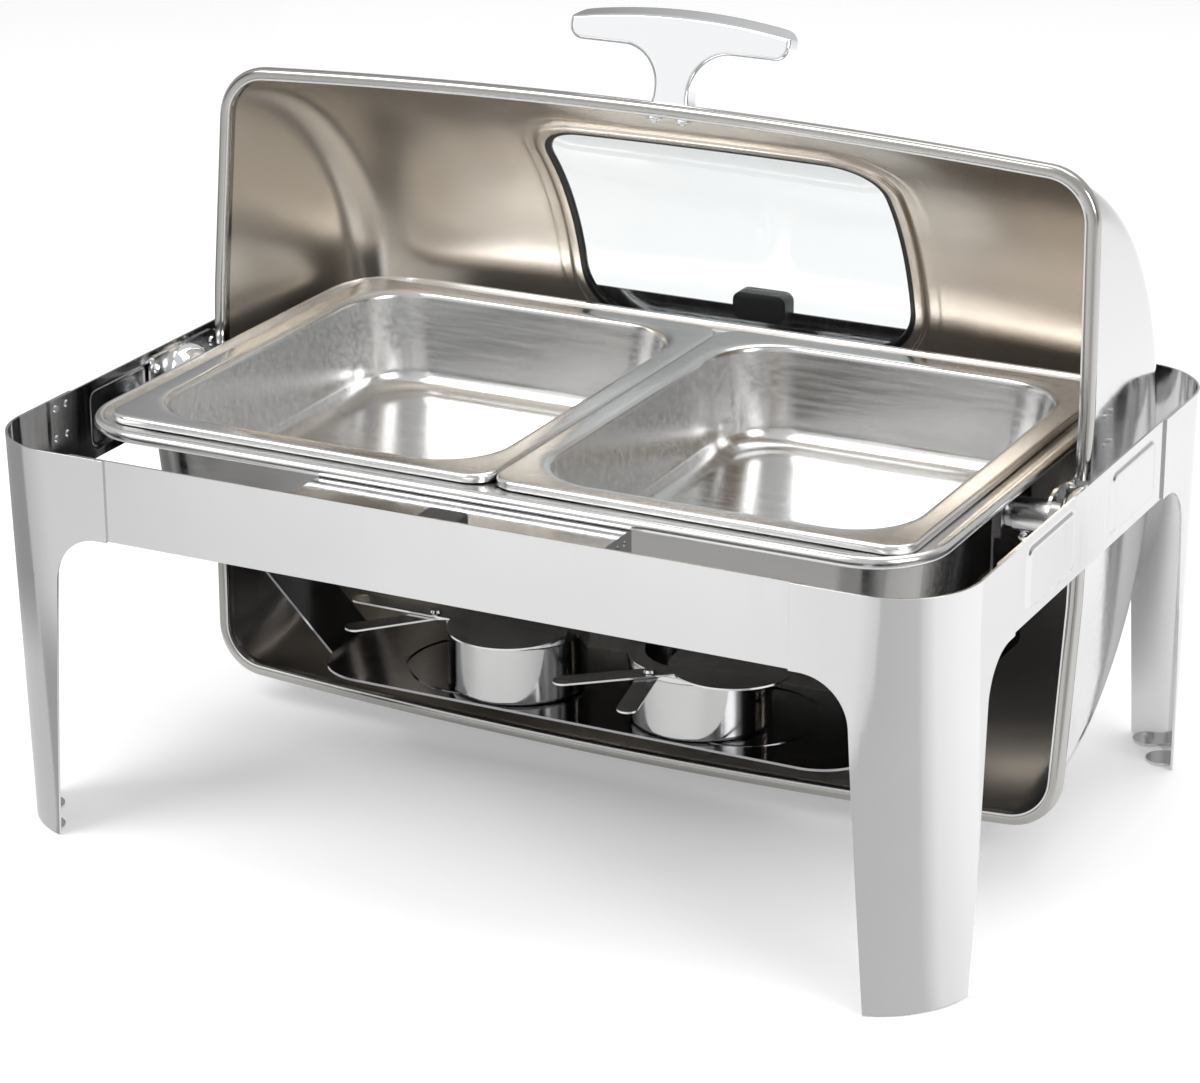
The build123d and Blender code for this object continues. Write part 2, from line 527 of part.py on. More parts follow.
bead_z, bore = COVER_Z - HOLDER_BEAD_HEIGHT, HOLDER_RADIUS - HOLDER_WALL
for side, (centre, facing, swing) in holders.items():
    rivet = polar(centre, -RIVET_REACH, facing)
    with BuildPart() as holder:
        with BuildSketch(Plane.XZ):
            with BuildLine():
                Polyline((0, TRAY_TOP), (HOLDER_RADIUS - HOLDER_FOOT, TRAY_TOP),
                         (HOLDER_RADIUS, TRAY_TOP + HOLDER_FOOT), (HOLDER_RADIUS, bead_z - HOLDER_WALL),
                         (HOLDER_RADIUS + HOLDER_BEAD, bead_z), (HOLDER_RADIUS + HOLDER_BEAD, COVER_Z),
                         (bore, COVER_Z), (bore, TRAY_TOP + HOLDER_FOOT + HOLDER_WALL),
                         (bore - HOLDER_FOOT, TRAY_TOP + HOLDER_WALL), (0, TRAY_TOP + HOLDER_WALL),
                         close=True)
            make_face()
        revolve(axis=Axis.Z)
    with BuildPart() as placed_holder:
        with Locations((centre[0], centre[1], 0)):
            add(holder.part)
    keep(placed_holder, f"{side}_fuel_holder")

    with BuildPart() as cover:
        with BuildSketch(Plane.XY.offset(COVER_Z)):
            with Locations(centre):
                Circle(HOLDER_RADIUS + HOLDER_BEAD)
            strip_handle(centre, facing + 180, RIVET_REACH, STRIP_WIDTH)
            strip_handle(rivet, facing + 180 + FIXED_HANDLE_TURN, HANDLE_REACH, STRIP_WIDTH)
            with Locations(centre):
                Circle(COVER_OPENING, mode=Mode.SUBTRACT)
            with Locations(rivet):
                Circle(RIVET_RADIUS, mode=Mode.SUBTRACT)
        extrude(amount=COVER_SHEET)
    keep(cover, f"{side}_holder_cover")

    swung = facing - swing
    with BuildPart() as shutter:
        with BuildSketch(Plane.XY.offset(SHUTTER_Z)):
            with Locations(polar(rivet, RIVET_REACH, swung)):
                Circle(SHUTTER_RADIUS)
            strip_handle(rivet, swung, RIVET_REACH - SHUTTER_RADIUS + SHUTTER_NECK, STRIP_WIDTH)
            strip_handle(rivet, swung + 180, HANDLE_REACH, STRIP_WIDTH)
            with Locations(rivet):
                Circle(RIVET_RADIUS + HINGE_CLEARANCE, mode=Mode.SUBTRACT)
        extrude(amount=COVER_SHEET)
    keep(shutter, f"{side}_shutter")

    with BuildPart() as shutter_rivet:
        with BuildSketch(Plane.XY.offset(COVER_Z)):
            with Locations(rivet):
                Circle(RIVET_RADIUS)
        extrude(amount=RIVET_HEAD_Z - COVER_Z)
        with BuildSketch(Plane.XY.offset(RIVET_HEAD_Z)):
            with Locations(rivet):
                Circle(RIVET_HEAD_RADIUS)
        extrude(amount=RIVET_HEAD, taper=HEAD_TAPER)
    keep(shutter_rivet, f"{side}_shutter_rivet")

# ---- lid: a barrel of revolution about the pivot axis, cut off at its mouth ----
# The lid's own planes are drawn for the open pose: MOUTH faces into the dome and its Y runs to the rear edge.
tilt = radians(LID_OPEN_ANGLE - 90)
MOUTH = Plane(origin=AXIS_POINT, x_dir=(1, 0, 0), z_dir=(0, cos(tilt), -sin(tilt)))
SECTION = Plane(origin=AXIS_POINT, x_dir=(1, 0, 0), z_dir=(0, -1, 0))
BEAD_LOW = MOUTH_OFFSET - BEAD_HEIGHT / 2
REACH = 400.0                   # larger than the lid in every direction


def barrel(grow):
    """Solid barrel whose surface stands grow outside the lid's outer skin."""
    end, hub = LID_HALF_LENGTH + grow, LID_HALF_LENGTH + END_BULGE + grow
    side_radius, middle_radius = BARREL_RADIUS_END + grow, BARREL_RADIUS_MID + grow
    with BuildPart() as solid:
        with BuildSketch(SECTION) as profile:
            with BuildLine():
                ThreePointArc((end, side_radius), (0, middle_radius), (-end, side_radius))
                Polyline((-end, side_radius), (-hub, END_FLAT_RADIUS), (-hub, 0), (hub, 0),
                         (hub, END_FLAT_RADIUS), (end, side_radius))
            make_face()
            fillet(profile.vertices().sort_by(Axis.Y)[-2:], LID_EDGE_RADIUS + grow)
        revolve(axis=PIVOT_AXIS)
    return solid.part


def beyond_mouth(offset_from_axis, depth):
    """Slab of space on the dome side of the mouth."""
    with BuildPart() as slab:
        with BuildSketch(MOUTH.offset(offset_from_axis)):
            Rectangle(2 * REACH, 2 * REACH)
        extrude(amount=depth)
    return slab.part


outer_skin, inner_skin = barrel(0), barrel(-LID_SHEET)
window_way = radians(LID_OPEN_ANGLE + WINDOW_TILT)
WINDOW = Plane(origin=AXIS_POINT, x_dir=(1, 0, 0), z_dir=(0, -cos(window_way), sin(window_way)))


def window_prism(grow):
    """Prism through the window, with round corners; it clears the far side of the barrel."""
    with BuildPart() as prism:
        with BuildSketch(WINDOW.offset(BARREL_RADIUS_MID / 2)):
            RectangleRounded(WINDOW_WIDTH + 2 * grow, WINDOW_HEIGHT + 2 * grow, WINDOW_RADIUS + grow)
        extrude(amount=BARREL_RADIUS_MID)
    return prism.part


foot_way = radians(HANDLE_POLAR)
HANDLE_FOOT = Plane(origin=AXIS_POINT, x_dir=(1, 0, 0),
                    z_dir=(0, cos(foot_way), sin(foot_way))).offset(BARREL_RADIUS_MID)
handle_screw_points = [(-HANDLE_SCREW_X, 0), (HANDLE_SCREW_X, 0)]


def window_band(margin, outer_grow, inner_grow):
    """Piece of barrel wall standing over the window and a margin round it."""
    with BuildPart() as band:
        add(barrel(outer_grow))
        add(barrel(inner_grow), mode=Mode.SUBTRACT)
        add(window_prism(margin), mode=Mode.INTERSECT)
    return band.part


with BuildPart() as lid_shell:
    add(outer_skin)
    add(inner_skin, mode=Mode.SUBTRACT)
    add(window_band(LIP_WIDTH, 0, -LIP_DROP - LID_SHEET))
    add(window_band(LIP_WIDTH - LID_SHEET, PAST, -LIP_DROP), mode=Mode.SUBTRACT)
    add(beyond_mouth(BEAD_LOW, REACH), mode=Mode.INTERSECT)
    with BuildPart(mode=Mode.PRIVATE) as bead:
        add(barrel(BEAD_OUT))
        add(inner_skin, mode=Mode.SUBTRACT)
        add(beyond_mouth(BEAD_LOW, BEAD_HEIGHT), mode=Mode.INTERSECT)
        with BuildSketch(Plane.YZ.offset(-REACH)):
            with Locations((0, AXIS_Z)):
                Circle(HUB_NOTCH_RADIUS)
        extrude(amount=2 * REACH, mode=Mode.SUBTRACT)
    add(bead.part)
    add(window_prism(0), mode=Mode.SUBTRACT)
    with BuildSketch(HANDLE_FOOT.offset(-LID_SHEET - PAST)):
        with Locations(*handle_screw_points):
            Circle(HANDLE_SCREW_RADIUS)
    extrude(amount=LID_SHEET + 2 * PAST, mode=Mode.SUBTRACT)

keep(lid_shell, "lid_shell")

with BuildPart() as window_glass:
    add(window_band(-GLASS_GAP, -GLASS_DROP, -GLASS_DROP - GLASS))

keep(window_glass, "window_glass")

with BuildPart() as window_gasket:
    add(window_band(GASKET_LIP, GASKET_FACE - GLASS_DROP, -GLASS_DROP - GLASS - GASKET_FACE))
    add(window_prism(-GASKET_LAND), mode=Mode.SUBTRACT)
    add(window_glass.part, mode=Mode.SUBTRACT)
    add(lid_shell.part, mode=Mode.SUBTRACT)

keep(window_gasket, "window_gasket")

# ---- lid handle: a cast T standing up and leaning back a little when the lid is open ----
HEAD_SEAT = -LID_SHEET - 0.1    # the screw heads seat on the inside of the sheet
SCREW_HEAD_RADIUS, SCREW_HEAD_NOSE, SCREW_HEAD_HEIGHT = 5.5, 2.6, 3.2

with BuildPart() as handle_screws:
    with BuildSketch(HANDLE_FOOT.offset(HEAD_SEAT)):
        with Locations(*handle_screw_points):
            Circle(HANDLE_SCREW_RADIUS)
    extrude(amount=HANDLE_SCREW_REACH)
    for point in handle_screw_points:
        with BuildSketch(HANDLE_FOOT.offset(HEAD_SEAT)):
            with Locations(point):
                Circle(SCREW_HEAD_RADIUS)
        with BuildSketch(HANDLE_FOOT.offset(HEAD_SEAT - SCREW_HEAD_HEIGHT)):
            with Locations(point):
                Circle(SCREW_HEAD_NOSE)
        loft()

keep(handle_screws, "handle_screws")

crest_front = HANDLE_Y - HANDLE_DEPTH / 2
with BuildPart() as above_crest:
    for crest_y, drop in ((crest_front, CREST_DROP), (crest_front + CREST_DEPTH, 0)):
        with BuildSketch(Plane.XZ.offset(-crest_y)):
            with BuildLine():
                ThreePointArc((-BAR_HALF, BAR_END_TOP - drop), (0, BAR_TOP - drop),
                              (BAR_HALF, BAR_END_TOP - drop))
                Polyline((BAR_HALF, BAR_END_TOP - drop), (BAR_HALF, BAR_TOP + PAST),
                         (-BAR_HALF, BAR_TOP + PAST), (-BAR_HALF, BAR_END_TOP - drop))
            make_face()
    loft(ruled=True)

with BuildPart() as upright_tee:
    with BuildSketch(Plane.XZ.offset(-HANDLE_Y - HANDLE_DEPTH / 2)) as tee:
        with BuildLine():
            ThreePointArc((-BAR_HALF, BAR_END_TOP), (0, BAR_TOP), (BAR_HALF, BAR_END_TOP))
            Polyline((BAR_HALF, BAR_END_TOP), (BAR_HALF, BAR_UNDERSIDE), (NECK_HALF, BAR_UNDERSIDE),
                     (NECK_HALF, FOOT_FLARE_Z), (FOOT_HALF, FOOT_Z), (-FOOT_HALF, FOOT_Z),
                     (-NECK_HALF, FOOT_FLARE_Z), (-NECK_HALF, BAR_UNDERSIDE), (-BAR_HALF, BAR_UNDERSIDE),
                     (-BAR_HALF, BAR_END_TOP))
        make_face()
        corners = tee.vertices()
        bar_ends = corners.group_by(Axis.X)[0] + corners.group_by(Axis.X)[-1]
        neck_tops = corners.filter_by_position(Axis.Y, BAR_UNDERSIDE - PAST, BAR_UNDERSIDE + PAST) \
            .filter_by_position(Axis.X, -NECK_HALF - PAST, NECK_HALF + PAST)
        fillet(bar_ends, BAR_END_RADIUS)
        fillet(neck_tops, NECK_FLARE)
    extrude(amount=HANDLE_DEPTH)
    flats = upright_tee.faces().filter_by(Axis.Y)
    fillet(flats.edges().filter_by_position(Axis.Z, FOOT_Z + PAST, BAR_TOP + PAST), HANDLE_ROUND)
    add(above_crest.part, mode=Mode.SUBTRACT)

with BuildPart() as lid_handle:
    add(upright_tee.part.rotate(Axis((0, HANDLE_Y, HANDLE_TURN_Z), (1, 0, 0)), -HANDLE_LEAN))
    add(outer_skin, mode=Mode.SUBTRACT)
    add(handle_screws.part, mode=Mode.SUBTRACT)

keep(lid_handle, "lid_handle")

# ---- hinge ears: plates inside the lid's end walls that turn on the pivot shafts ----
EAR_PLANE = Plane(origin=(EAR_X, 0, AXIS_Z), x_dir=MOUTH.z_dir, z_dir=(1, 0, 0))
EAR_REACH_WAY = Axis(AXIS_POINT, MOUTH.z_dir)
wall_inner_x = LID_HALF_LENGTH + END_BULGE - LID_SHEET

with BuildPart() as right_lid_hinge_ear:
    with BuildSketch(EAR_PLANE):
        Circle(EAR_RADIUS)
        with Locations((EAR_REACH / 2, 0)):
            Rectangle(EAR_REACH, 2 * EAR_RADIUS)
        Circle(SHAFT_RADIUS + HINGE_CLEARANCE, mode=Mode.SUBTRACT)
    extrude(amount=EAR_SHEET)
    with BuildSketch(EAR_PLANE.offset(EAR_SHEET)):
        with Locations(((EAR_PAD_START + EAR_REACH) / 2, 0)):
            Rectangle(EAR_REACH - EAR_PAD_START, 2 * EAR_RADIUS)
    extrude(amount=wall_inner_x - EAR_X - EAR_SHEET)
    far_corners = right_lid_hinge_ear.edges().filter_by(Axis.X).sort_by(EAR_REACH_WAY)[-4:]
    fillet(far_corners, EAR_CORNER)

keep(right_lid_hinge_ear, "right_lid_hinge_ear")
keep_mirrored(right_lid_hinge_ear, "left_lid_hinge_ear", Plane.YZ)
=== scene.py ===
from math import acos, asin, atan2, cos, hypot, pi, radians, sin, sqrt

import bpy
from mathutils import Matrix, Vector


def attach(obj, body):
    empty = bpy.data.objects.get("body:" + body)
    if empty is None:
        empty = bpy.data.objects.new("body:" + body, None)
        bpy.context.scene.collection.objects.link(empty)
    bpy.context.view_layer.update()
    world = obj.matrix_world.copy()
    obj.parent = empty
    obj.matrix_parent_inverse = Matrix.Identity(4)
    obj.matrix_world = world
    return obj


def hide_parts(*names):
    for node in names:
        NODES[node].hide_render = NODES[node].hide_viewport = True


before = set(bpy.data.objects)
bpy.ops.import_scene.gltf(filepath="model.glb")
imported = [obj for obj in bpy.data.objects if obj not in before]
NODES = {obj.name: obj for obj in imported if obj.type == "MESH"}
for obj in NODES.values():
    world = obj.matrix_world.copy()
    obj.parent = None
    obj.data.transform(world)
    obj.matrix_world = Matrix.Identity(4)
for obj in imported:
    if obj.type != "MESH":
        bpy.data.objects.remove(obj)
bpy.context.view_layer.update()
MM = 0.001

# ---- the chafer's driving sizes, millimetres, as in the CAD ----
HALF_L, HALF_D, STAND_HEIGHT, SHEET = 315.0, 228.0, 253.0, 1.5
CORNER_TOP, CORNER_FOOT = 50.0, 66.0
SHOULDER_Z, SHOULDER_RADIUS = 201.5, 30.0
AXIS_Z = 226.0
OPEN_TILT = radians(4.0)        # the stored lid stands this far past upright
BARREL_MID, BARREL_END, LID_HALF, END_BULGE, END_FLAT = 206.5, 197.0, 290.0, 5.0, 62.0
LID_EDGE, LID_SHEET = 27.0, 1.0
MOUTH_LOW = 20.0                # the mouth's plane stands this far off the axis
WINDOW_PHI = radians(32.3)      # middle of the window, from the dome's own axis towards its front edge
WINDOW_HALF_X, WINDOW_HALF_Y, WINDOW_RADIUS = 120.5, 83.0, 34.0
LIP_DROP, GLASS_DROP, GLASS = 3.2, 0.1, 3.0
HANDLE_POLAR, HANDLE_SCREW_X = radians(67.5), 9.7


# ---- materials ----
def new_material(name):
    """Empty node material with a Principled shader; returns the material, its node tree and the shader."""
    material = bpy.data.materials.new(name)
    material.use_nodes = True
    tree = material.node_tree
    return material, tree, tree.nodes["Principled BSDF"]


def noise(tree, stretch, scale, detail):
    """Noise over the piece's own coordinates, stretched along an axis; returns its value socket."""
    coordinate = tree.nodes.new("ShaderNodeTexCoord")
    mapping = tree.nodes.new("ShaderNodeMapping")
    mapping.inputs["Scale"].default_value = stretch
    texture = tree.nodes.new("ShaderNodeTexNoise")
    texture.inputs["Scale"].default_value = scale
    texture.inputs["Detail"].default_value = detail
    tree.links.new(coordinate.outputs["Object"], mapping.inputs["Vector"])
    tree.links.new(mapping.outputs["Vector"], texture.inputs["Vector"])
    return texture.outputs["Fac"]


def ranged(tree, value, low, high, start=0.3, end=0.7, ease="LINEAR"):
    """Value remapped from start..end, by default where noise mostly lies, to low..high."""
    node = tree.nodes.new("ShaderNodeMapRange")
    node.interpolation_type = ease
    node.inputs["From Min"].default_value = start
    node.inputs["From Max"].default_value = end
    node.inputs["To Min"].default_value = low
    node.inputs["To Max"].default_value = high
    tree.links.new(value, node.inputs["Value"])
    return node.outputs["Result"]


def tinted(tree, value, dark, light):
    """Colour mixed by a value between two ends, each a colour or another colour's socket."""
    node = tree.nodes.new("ShaderNodeMix")
    node.data_type = "RGBA"
    for name, end in (("A", dark), ("B", light)):
        if isinstance(end, tuple):
            node.inputs[name].default_value = (*end, 1)
        else:
            tree.links.new(end, node.inputs[name])
    tree.links.new(value, node.inputs["Factor"])
    return node.outputs["Result"]


def bumped(tree, shader, heights):
    """Stacks bumps, given as (height socket, strength, distance), on a shader's normal."""
    normal = None
    for height, strength, distance in heights:
        node = tree.nodes.new("ShaderNodeBump")
        node.inputs["Strength"].default_value = strength
        node.inputs["Distance"].default_value = distance
        tree.links.new(height, node.inputs["Height"])
        if normal is not None:
            tree.links.new(normal, node.inputs["Normal"])
        normal = node.outputs["Normal"]
    tree.links.new(normal, shader.inputs["Normal"])


def steel(name, dark, light, rough, brush=(1, 1, 1), brush_scale=60.0, brush_strength=0.0, wave=0.0):
    """Stainless steel: a slightly uneven tone and gloss, fine polishing lines and a faint sheet waviness."""
    material, tree, shader = new_material(name)
    shader.inputs["Metallic"].default_value = 1.0
    cloud = noise(tree, (1, 1, 1), 9.0, 4.0)
    lines = noise(tree, brush, brush_scale, 2.0)
    tree.links.new(tinted(tree, cloud, dark, light), shader.inputs["Base Color"])
    tree.links.new(ranged(tree, lines, *rough), shader.inputs["Roughness"])
    heights = []
    if brush_strength:
        heights.append((lines, brush_strength, 0.0002))
    if wave:
        heights.append((noise(tree, (1, 1, 1), 5.0, 1.0), wave, 0.01))
    if heights:
        bumped(tree, shader, heights)
    return material


mirror_steel = steel("mirror_steel", (0.64, 0.64, 0.645), (0.70, 0.70, 0.70), (0.08, 0.16),
                     brush=(1, 1, 0.04), brush_scale=260.0, brush_strength=0.05, wave=0.04)
sheet_steel = steel("sheet_steel", (0.66, 0.66, 0.66), (0.74, 0.74, 0.735), (0.10, 0.18),
                    brush=(0.05, 1, 1), brush_scale=300.0, brush_strength=0.08)
pan_steel = steel("pan_steel", (0.70, 0.695, 0.69), (0.77, 0.77, 0.765), (0.16, 0.26),
                  brush=(0.06, 1, 1), brush_scale=320.0, brush_strength=0.08)


def lid_inner(name, brush):
    """Steel inside the lid with painted light: a warm painted reflection, lighter to the left over its front
    half, and painted shade, darker towards its rear edge at the bottom.
    """
    material, tree, shader = new_material(name)
    shader.inputs["Metallic"].default_value = 1.0
    coordinate = tree.nodes.new("ShaderNodeTexCoord")
    place = tree.nodes.new("ShaderNodeSeparateXYZ")
    tree.links.new(coordinate.outputs["Object"], place.inputs[0])
    # painted shade: dark grey below this height, towards the lid's rear edge
    height = ranged(tree, place.outputs["Z"], 0.0, 1.0, 0.14, 0.27, "SMOOTHSTEP")
    across = ranged(tree, place.outputs["X"], 0.0, 1.0, 0.30, -0.28)
    lines = noise(tree, brush, 600.0, 2.0)
    brushed = tinted(tree, ranged(tree, lines, 0.0, 1.0), (0.56, 0.49, 0.41), (0.60, 0.53, 0.45))
    # painted reflection: warm and lighter towards the left
    painted_reflection = tinted(tree, across, brushed, (0.98, 0.92, 0.84))
    tree.links.new(tinted(tree, height, (0.33, 0.32, 0.31), painted_reflection), shader.inputs["Base Color"])
    shader.inputs["Roughness"].default_value = 0.27
    bumped(tree, shader, [(noise(tree, (1, 1, 1), 6.0, 1.0), 0.06, 0.01)])
    return material


lid_outer_steel = steel("lid_outer_steel", (0.66, 0.66, 0.665), (0.72, 0.72, 0.72), (0.06, 0.12),
                        brush=(0.05, 1, 1), brush_scale=260.0, brush_strength=0.05, wave=0.012)
lid_inner_steel = lid_inner("lid_inner_steel", (0.012, 1, 1))
lid_end_steel = lid_inner("lid_end_steel", (1, 1, 0.012))
# painted shade: the rolled bead's steel, darker than the lid's own
shaded_rim_steel = steel("shaded_rim_steel", (0.42, 0.41, 0.39), (0.48, 0.47, 0.45), (0.14, 0.18))
chrome = steel("chrome", (0.84, 0.85, 0.86), (0.88, 0.89, 0.90), (0.03, 0.06))
cup_steel = steel("cup_steel", (0.52, 0.52, 0.52), (0.74, 0.74, 0.73), (0.08, 0.20),
                  brush=(1, 1, 0.015), brush_scale=110.0, brush_strength=0.25)
shaded_steel = steel("shaded_steel", (0.26, 0.255, 0.25), (0.34, 0.335, 0.33), (0.14, 0.22),
                     brush=(0.06, 1, 1), brush_scale=320.0, brush_strength=0.06)
# painted shade: the fuel tray's steel darkened for the dark pan undersides it reflects
shaded_tray_steel = steel("shaded_tray_steel", (0.30, 0.30, 0.31), (0.38, 0.38, 0.39), (0.06, 0.12),
                   brush=(0.05, 1, 1), brush_scale=300.0, brush_strength=0.04)


def make_rubber(name, tone, rough):
    """Moulded rubber with a fine matt grain."""
    material, tree, shader = new_material(name)
    grain = noise(tree, (1, 1, 1), 900.0, 4.0)
    tree.links.new(tinted(tree, grain, (tone * 0.7,) * 3, (tone * 1.4,) * 3), shader.inputs["Base Color"])
    tree.links.new(ranged(tree, grain, rough - 0.08, rough + 0.08), shader.inputs["Roughness"])
    bumped(tree, shader, [(grain, 0.2, 0.0003)])
    return material


bumper_rubber = make_rubber("bumper_rubber", 0.02, 0.5)
gasket_rubber = make_rubber("gasket_rubber", 0.008, 0.35)


def make_glass():
    """Clear window glass with a faint green-grey body tint and slight ripple."""
    material, tree, shader = new_material("window_glass")
    shader.inputs["Base Color"].default_value = (0.86, 0.885, 0.885, 1)
    shader.inputs["Transmission Weight"].default_value = 1.0
    shader.inputs["Roughness"].default_value = 0.0
    shader.inputs["IOR"].default_value = 1.45
    bumped(tree, shader, [(noise(tree, (1, 1, 1), 6.0, 1.0), 0.02, 0.01)])
    return material


window_glass = make_glass()


# ---- mesh helpers ----
def new_object(name, data):
    """New object in the scene."""
    obj = bpy.data.objects.new(name, data)
    bpy.context.scene.collection.objects.link(obj)
    return obj


def piece(name, vertices, faces, body, slot, material, replaces, sharp=35.0, others=()):
    """Smooth piece in millimetres on a body, in place of CAD nodes; others pairs materials with faces."""
    mesh = bpy.data.meshes.new(name)
    mesh.from_pydata([tuple(c * MM for c in v) for v in vertices], [], faces)
    mesh.materials.append(material)
    for number, (other, chosen) in enumerate(others, 1):
        mesh.materials.append(other)
        for index in chosen:
            mesh.polygons[index].material_index = number
    mesh.validate()
    mesh.update()
    for polygon in mesh.polygons:
        polygon.use_smooth = True
    mesh.set_sharp_from_angle(angle=radians(sharp))
    obj = new_object(name, mesh)
    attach(obj, body)
    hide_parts(*replaces)
    return obj


def weighted(obj):
    """Lets an object's large faces set its smooth normals."""
    modifier = obj.modifiers.new("normals", "WEIGHTED_NORMAL")
    modifier.keep_sharp = True
    return obj


def bevel(obj, width):
    """Rounds an object's sharp edges by width millimetres."""
    modifier = obj.modifiers.new("edges", "BEVEL")
    modifier.width = width * MM
    modifier.segments = 2
    modifier.limit_method = "ANGLE"
    modifier.angle_limit = radians(40)
    modifier.harden_normals = False
    return weighted(obj)


def bridge(first, second, count, flip=False):
    """Quads between two closed loops of count vertices that start at these numbers."""
    faces = []
    for k in range(count):
        n = (k + 1) % count
        quad = [first + k, first + n, second + n, second + k]
        faces.append(quad[::-1] if flip else quad)
    return faces


def rounded_rectangle(half_x, half_y, radius, z, centre=(0.0, 0.0), steps=12):
    """Counter-clockwise loop of a rounded rectangle at a height."""
    points = []
    for quarter, (sx, sy) in enumerate(((1, 1), (-1, 1), (-1, -1), (1, -1))):
        for k in range(steps + 1):
            angle = (quarter + k / steps) * pi / 2
            points.append((centre[0] + sx * (half_x - radius) + radius * cos(angle),
                           centre[1] + sy * (half_y - radius) + radius * sin(angle), z))
    return points


def stacked(loops):
    """Closed solid from loops of equal length, in order along its profile, capped at both ends."""
    vertices = [point for loop in loops for point in loop]
    count = len(loops[0])
    faces = [list(range(count))[::-1]]
    for level in range(len(loops) - 1):
        faces += bridge(level * count, (level + 1) * count, count)
    last = (len(loops) - 1) * count
    faces.append(list(range(last, last + count)))
    return vertices, faces


def arc(centre, radius, start, end, steps):
    """Points of an arc in a plane, angles in degrees."""
    return [(centre[0] + radius * cos(radians(start + (end - start) * k / steps)),
             centre[1] + radius * sin(radians(start + (end - start) * k / steps))) for k in range(steps + 1)]


def lathe(profile, origin, along, across, steps=64):
    """Solid of revolution: profile points are (distance along, radius) from an origin on an axis."""
    along, across = Vector(along).normalized(), Vector(across).normalized()
    third = along.cross(across)
    loops = []
    for distance, radius in profile:
        middle = Vector(origin) + along * distance
        turns = [2 * pi * k / steps for k in range(steps)]
        loops.append([tuple(middle + (across * cos(t) + third * sin(t)) * max(radius, 0.01)) for t in turns])
    return stacked(loops)


def merged(*solids):
    """One vertex and face list from several."""
    vertices, faces = [], []
    for more_vertices, more_faces in solids:
        start = len(vertices)
        vertices += more_vertices
        faces += [[start + index for index in face] for face in more_faces]
    return vertices, faces


def mirrored(solid, axis):
    """Mirror copy of a vertex and face list about the coordinate plane across an axis."""
    vertices, faces = solid
    flipped = [tuple(-c if k == axis else c for k, c in enumerate(v)) for v in vertices]
    return flipped, [face[::-1] for face in faces]


# ---- legs ----
FRONT_EDGE, SIDE_EDGE = (269.5, 256.6), (176.0, 161.5)      # a leg's inner edges at the foot and at the neck
FRONT_SEAM, SIDE_SEAM = 222.0, 125.0                        # ends of its lap over the rails
EDGE_FOOT_Z = -1.0                                          # its edges' straight lines start at this height
STRAIGHT_TOP = 173.0                                        # evenly spaced rows up to this height
LEG_COLUMNS, WING_COLUMNS, LEG_ROWS, TOP_ROWS = 61, 4, 14, 6
FOOT_TABS, TAB_RADIUS, TAB_INSET = ((284.0, -216.0), (302.0, -190.0)), 11.0, 0.4


def leg_edge(z, foot, neck):
    """Distance of a leg's inner edge from the middle of its side, at a height."""
    lean = Vector((neck - foot, SHOULDER_Z - EDGE_FOOT_Z)).normalized()
    tangent = SHOULDER_RADIUS * sqrt((1 + lean.x) / (1 - lean.x))
    end = neck - tangent
    start_z = SHOULDER_Z - tangent * lean.y
    if z <= start_z:
        return foot + (neck - foot) * (z - EDGE_FOOT_Z) / (SHOULDER_Z - EDGE_FOOT_Z)
    rise = min(z - (SHOULDER_Z - SHOULDER_RADIUS), SHOULDER_RADIUS)
    return end + sqrt(max(SHOULDER_RADIUS ** 2 - rise ** 2, 0.0))


def corner_path(z, front_x, side_y, inset, count):
    """Points along the stand's outline at a height, from front_x on the front to side_y on the side."""
    radius = CORNER_FOOT + (CORNER_TOP - CORNER_FOOT) * z / STAND_HEIGHT
    centre_x, centre_y = HALF_L - radius, HALF_D - radius
    front_flat, side_flat = centre_x - front_x, centre_y - side_y
    start = -front_flat if front_flat > 0 else radius * asin(min(-front_flat / radius, 1.0))
    quarter = radius * pi / 2
    end = quarter + side_flat if side_flat > 0 else quarter - radius * asin(min(-side_flat / radius, 1.0))
    points = []
    for k in range(count):
        along = start + (end - start) * k / (count - 1)
        if along < 0:
            points.append((centre_x + along, -(HALF_D - inset), z))
        elif along > quarter:
            points.append((HALF_L - inset, -(centre_y - (along - quarter)), z))
        else:
            angle, reach = along / radius, radius - inset
            points.append((centre_x + reach * sin(angle), -(centre_y + reach * cos(angle)), z))
    return points


def leg_skin(inset):
    """Rows of points of one face of the front right leg, and how many are below the shoulder."""
    heights = [k * STRAIGHT_TOP / LEG_ROWS for k in range(LEG_ROWS + 1)]
    heights += [SHOULDER_Z - SHOULDER_RADIUS * (1 - sin(radians(a))) for a in range(6, 91, 6)]
    rows = []
    for z in heights:
        rows.append(corner_path(z, leg_edge(z, *FRONT_EDGE), leg_edge(z, *SIDE_EDGE), inset, LEG_COLUMNS))
    narrow = len(rows)
    front_end, side_end = leg_edge(SHOULDER_Z, *FRONT_EDGE), leg_edge(SHOULDER_Z, *SIDE_EDGE)
    for k in range(TOP_ROWS + 1):
        z = SHOULDER_Z + (STAND_HEIGHT - SHOULDER_Z) * k / TOP_ROWS
        middle = corner_path(z, front_end, side_end, inset, LEG_COLUMNS)
        left = [(FRONT_SEAM + (front_end - FRONT_SEAM) * n / WING_COLUMNS, middle[0][1], z)
                for n in range(WING_COLUMNS)]
        right = [(middle[-1][0], -(side_end + (SIDE_SEAM - side_end) * (n + 1) / WING_COLUMNS), z)
                 for n in range(WING_COLUMNS)]
        rows.append(left + middle + right)
    return rows, narrow


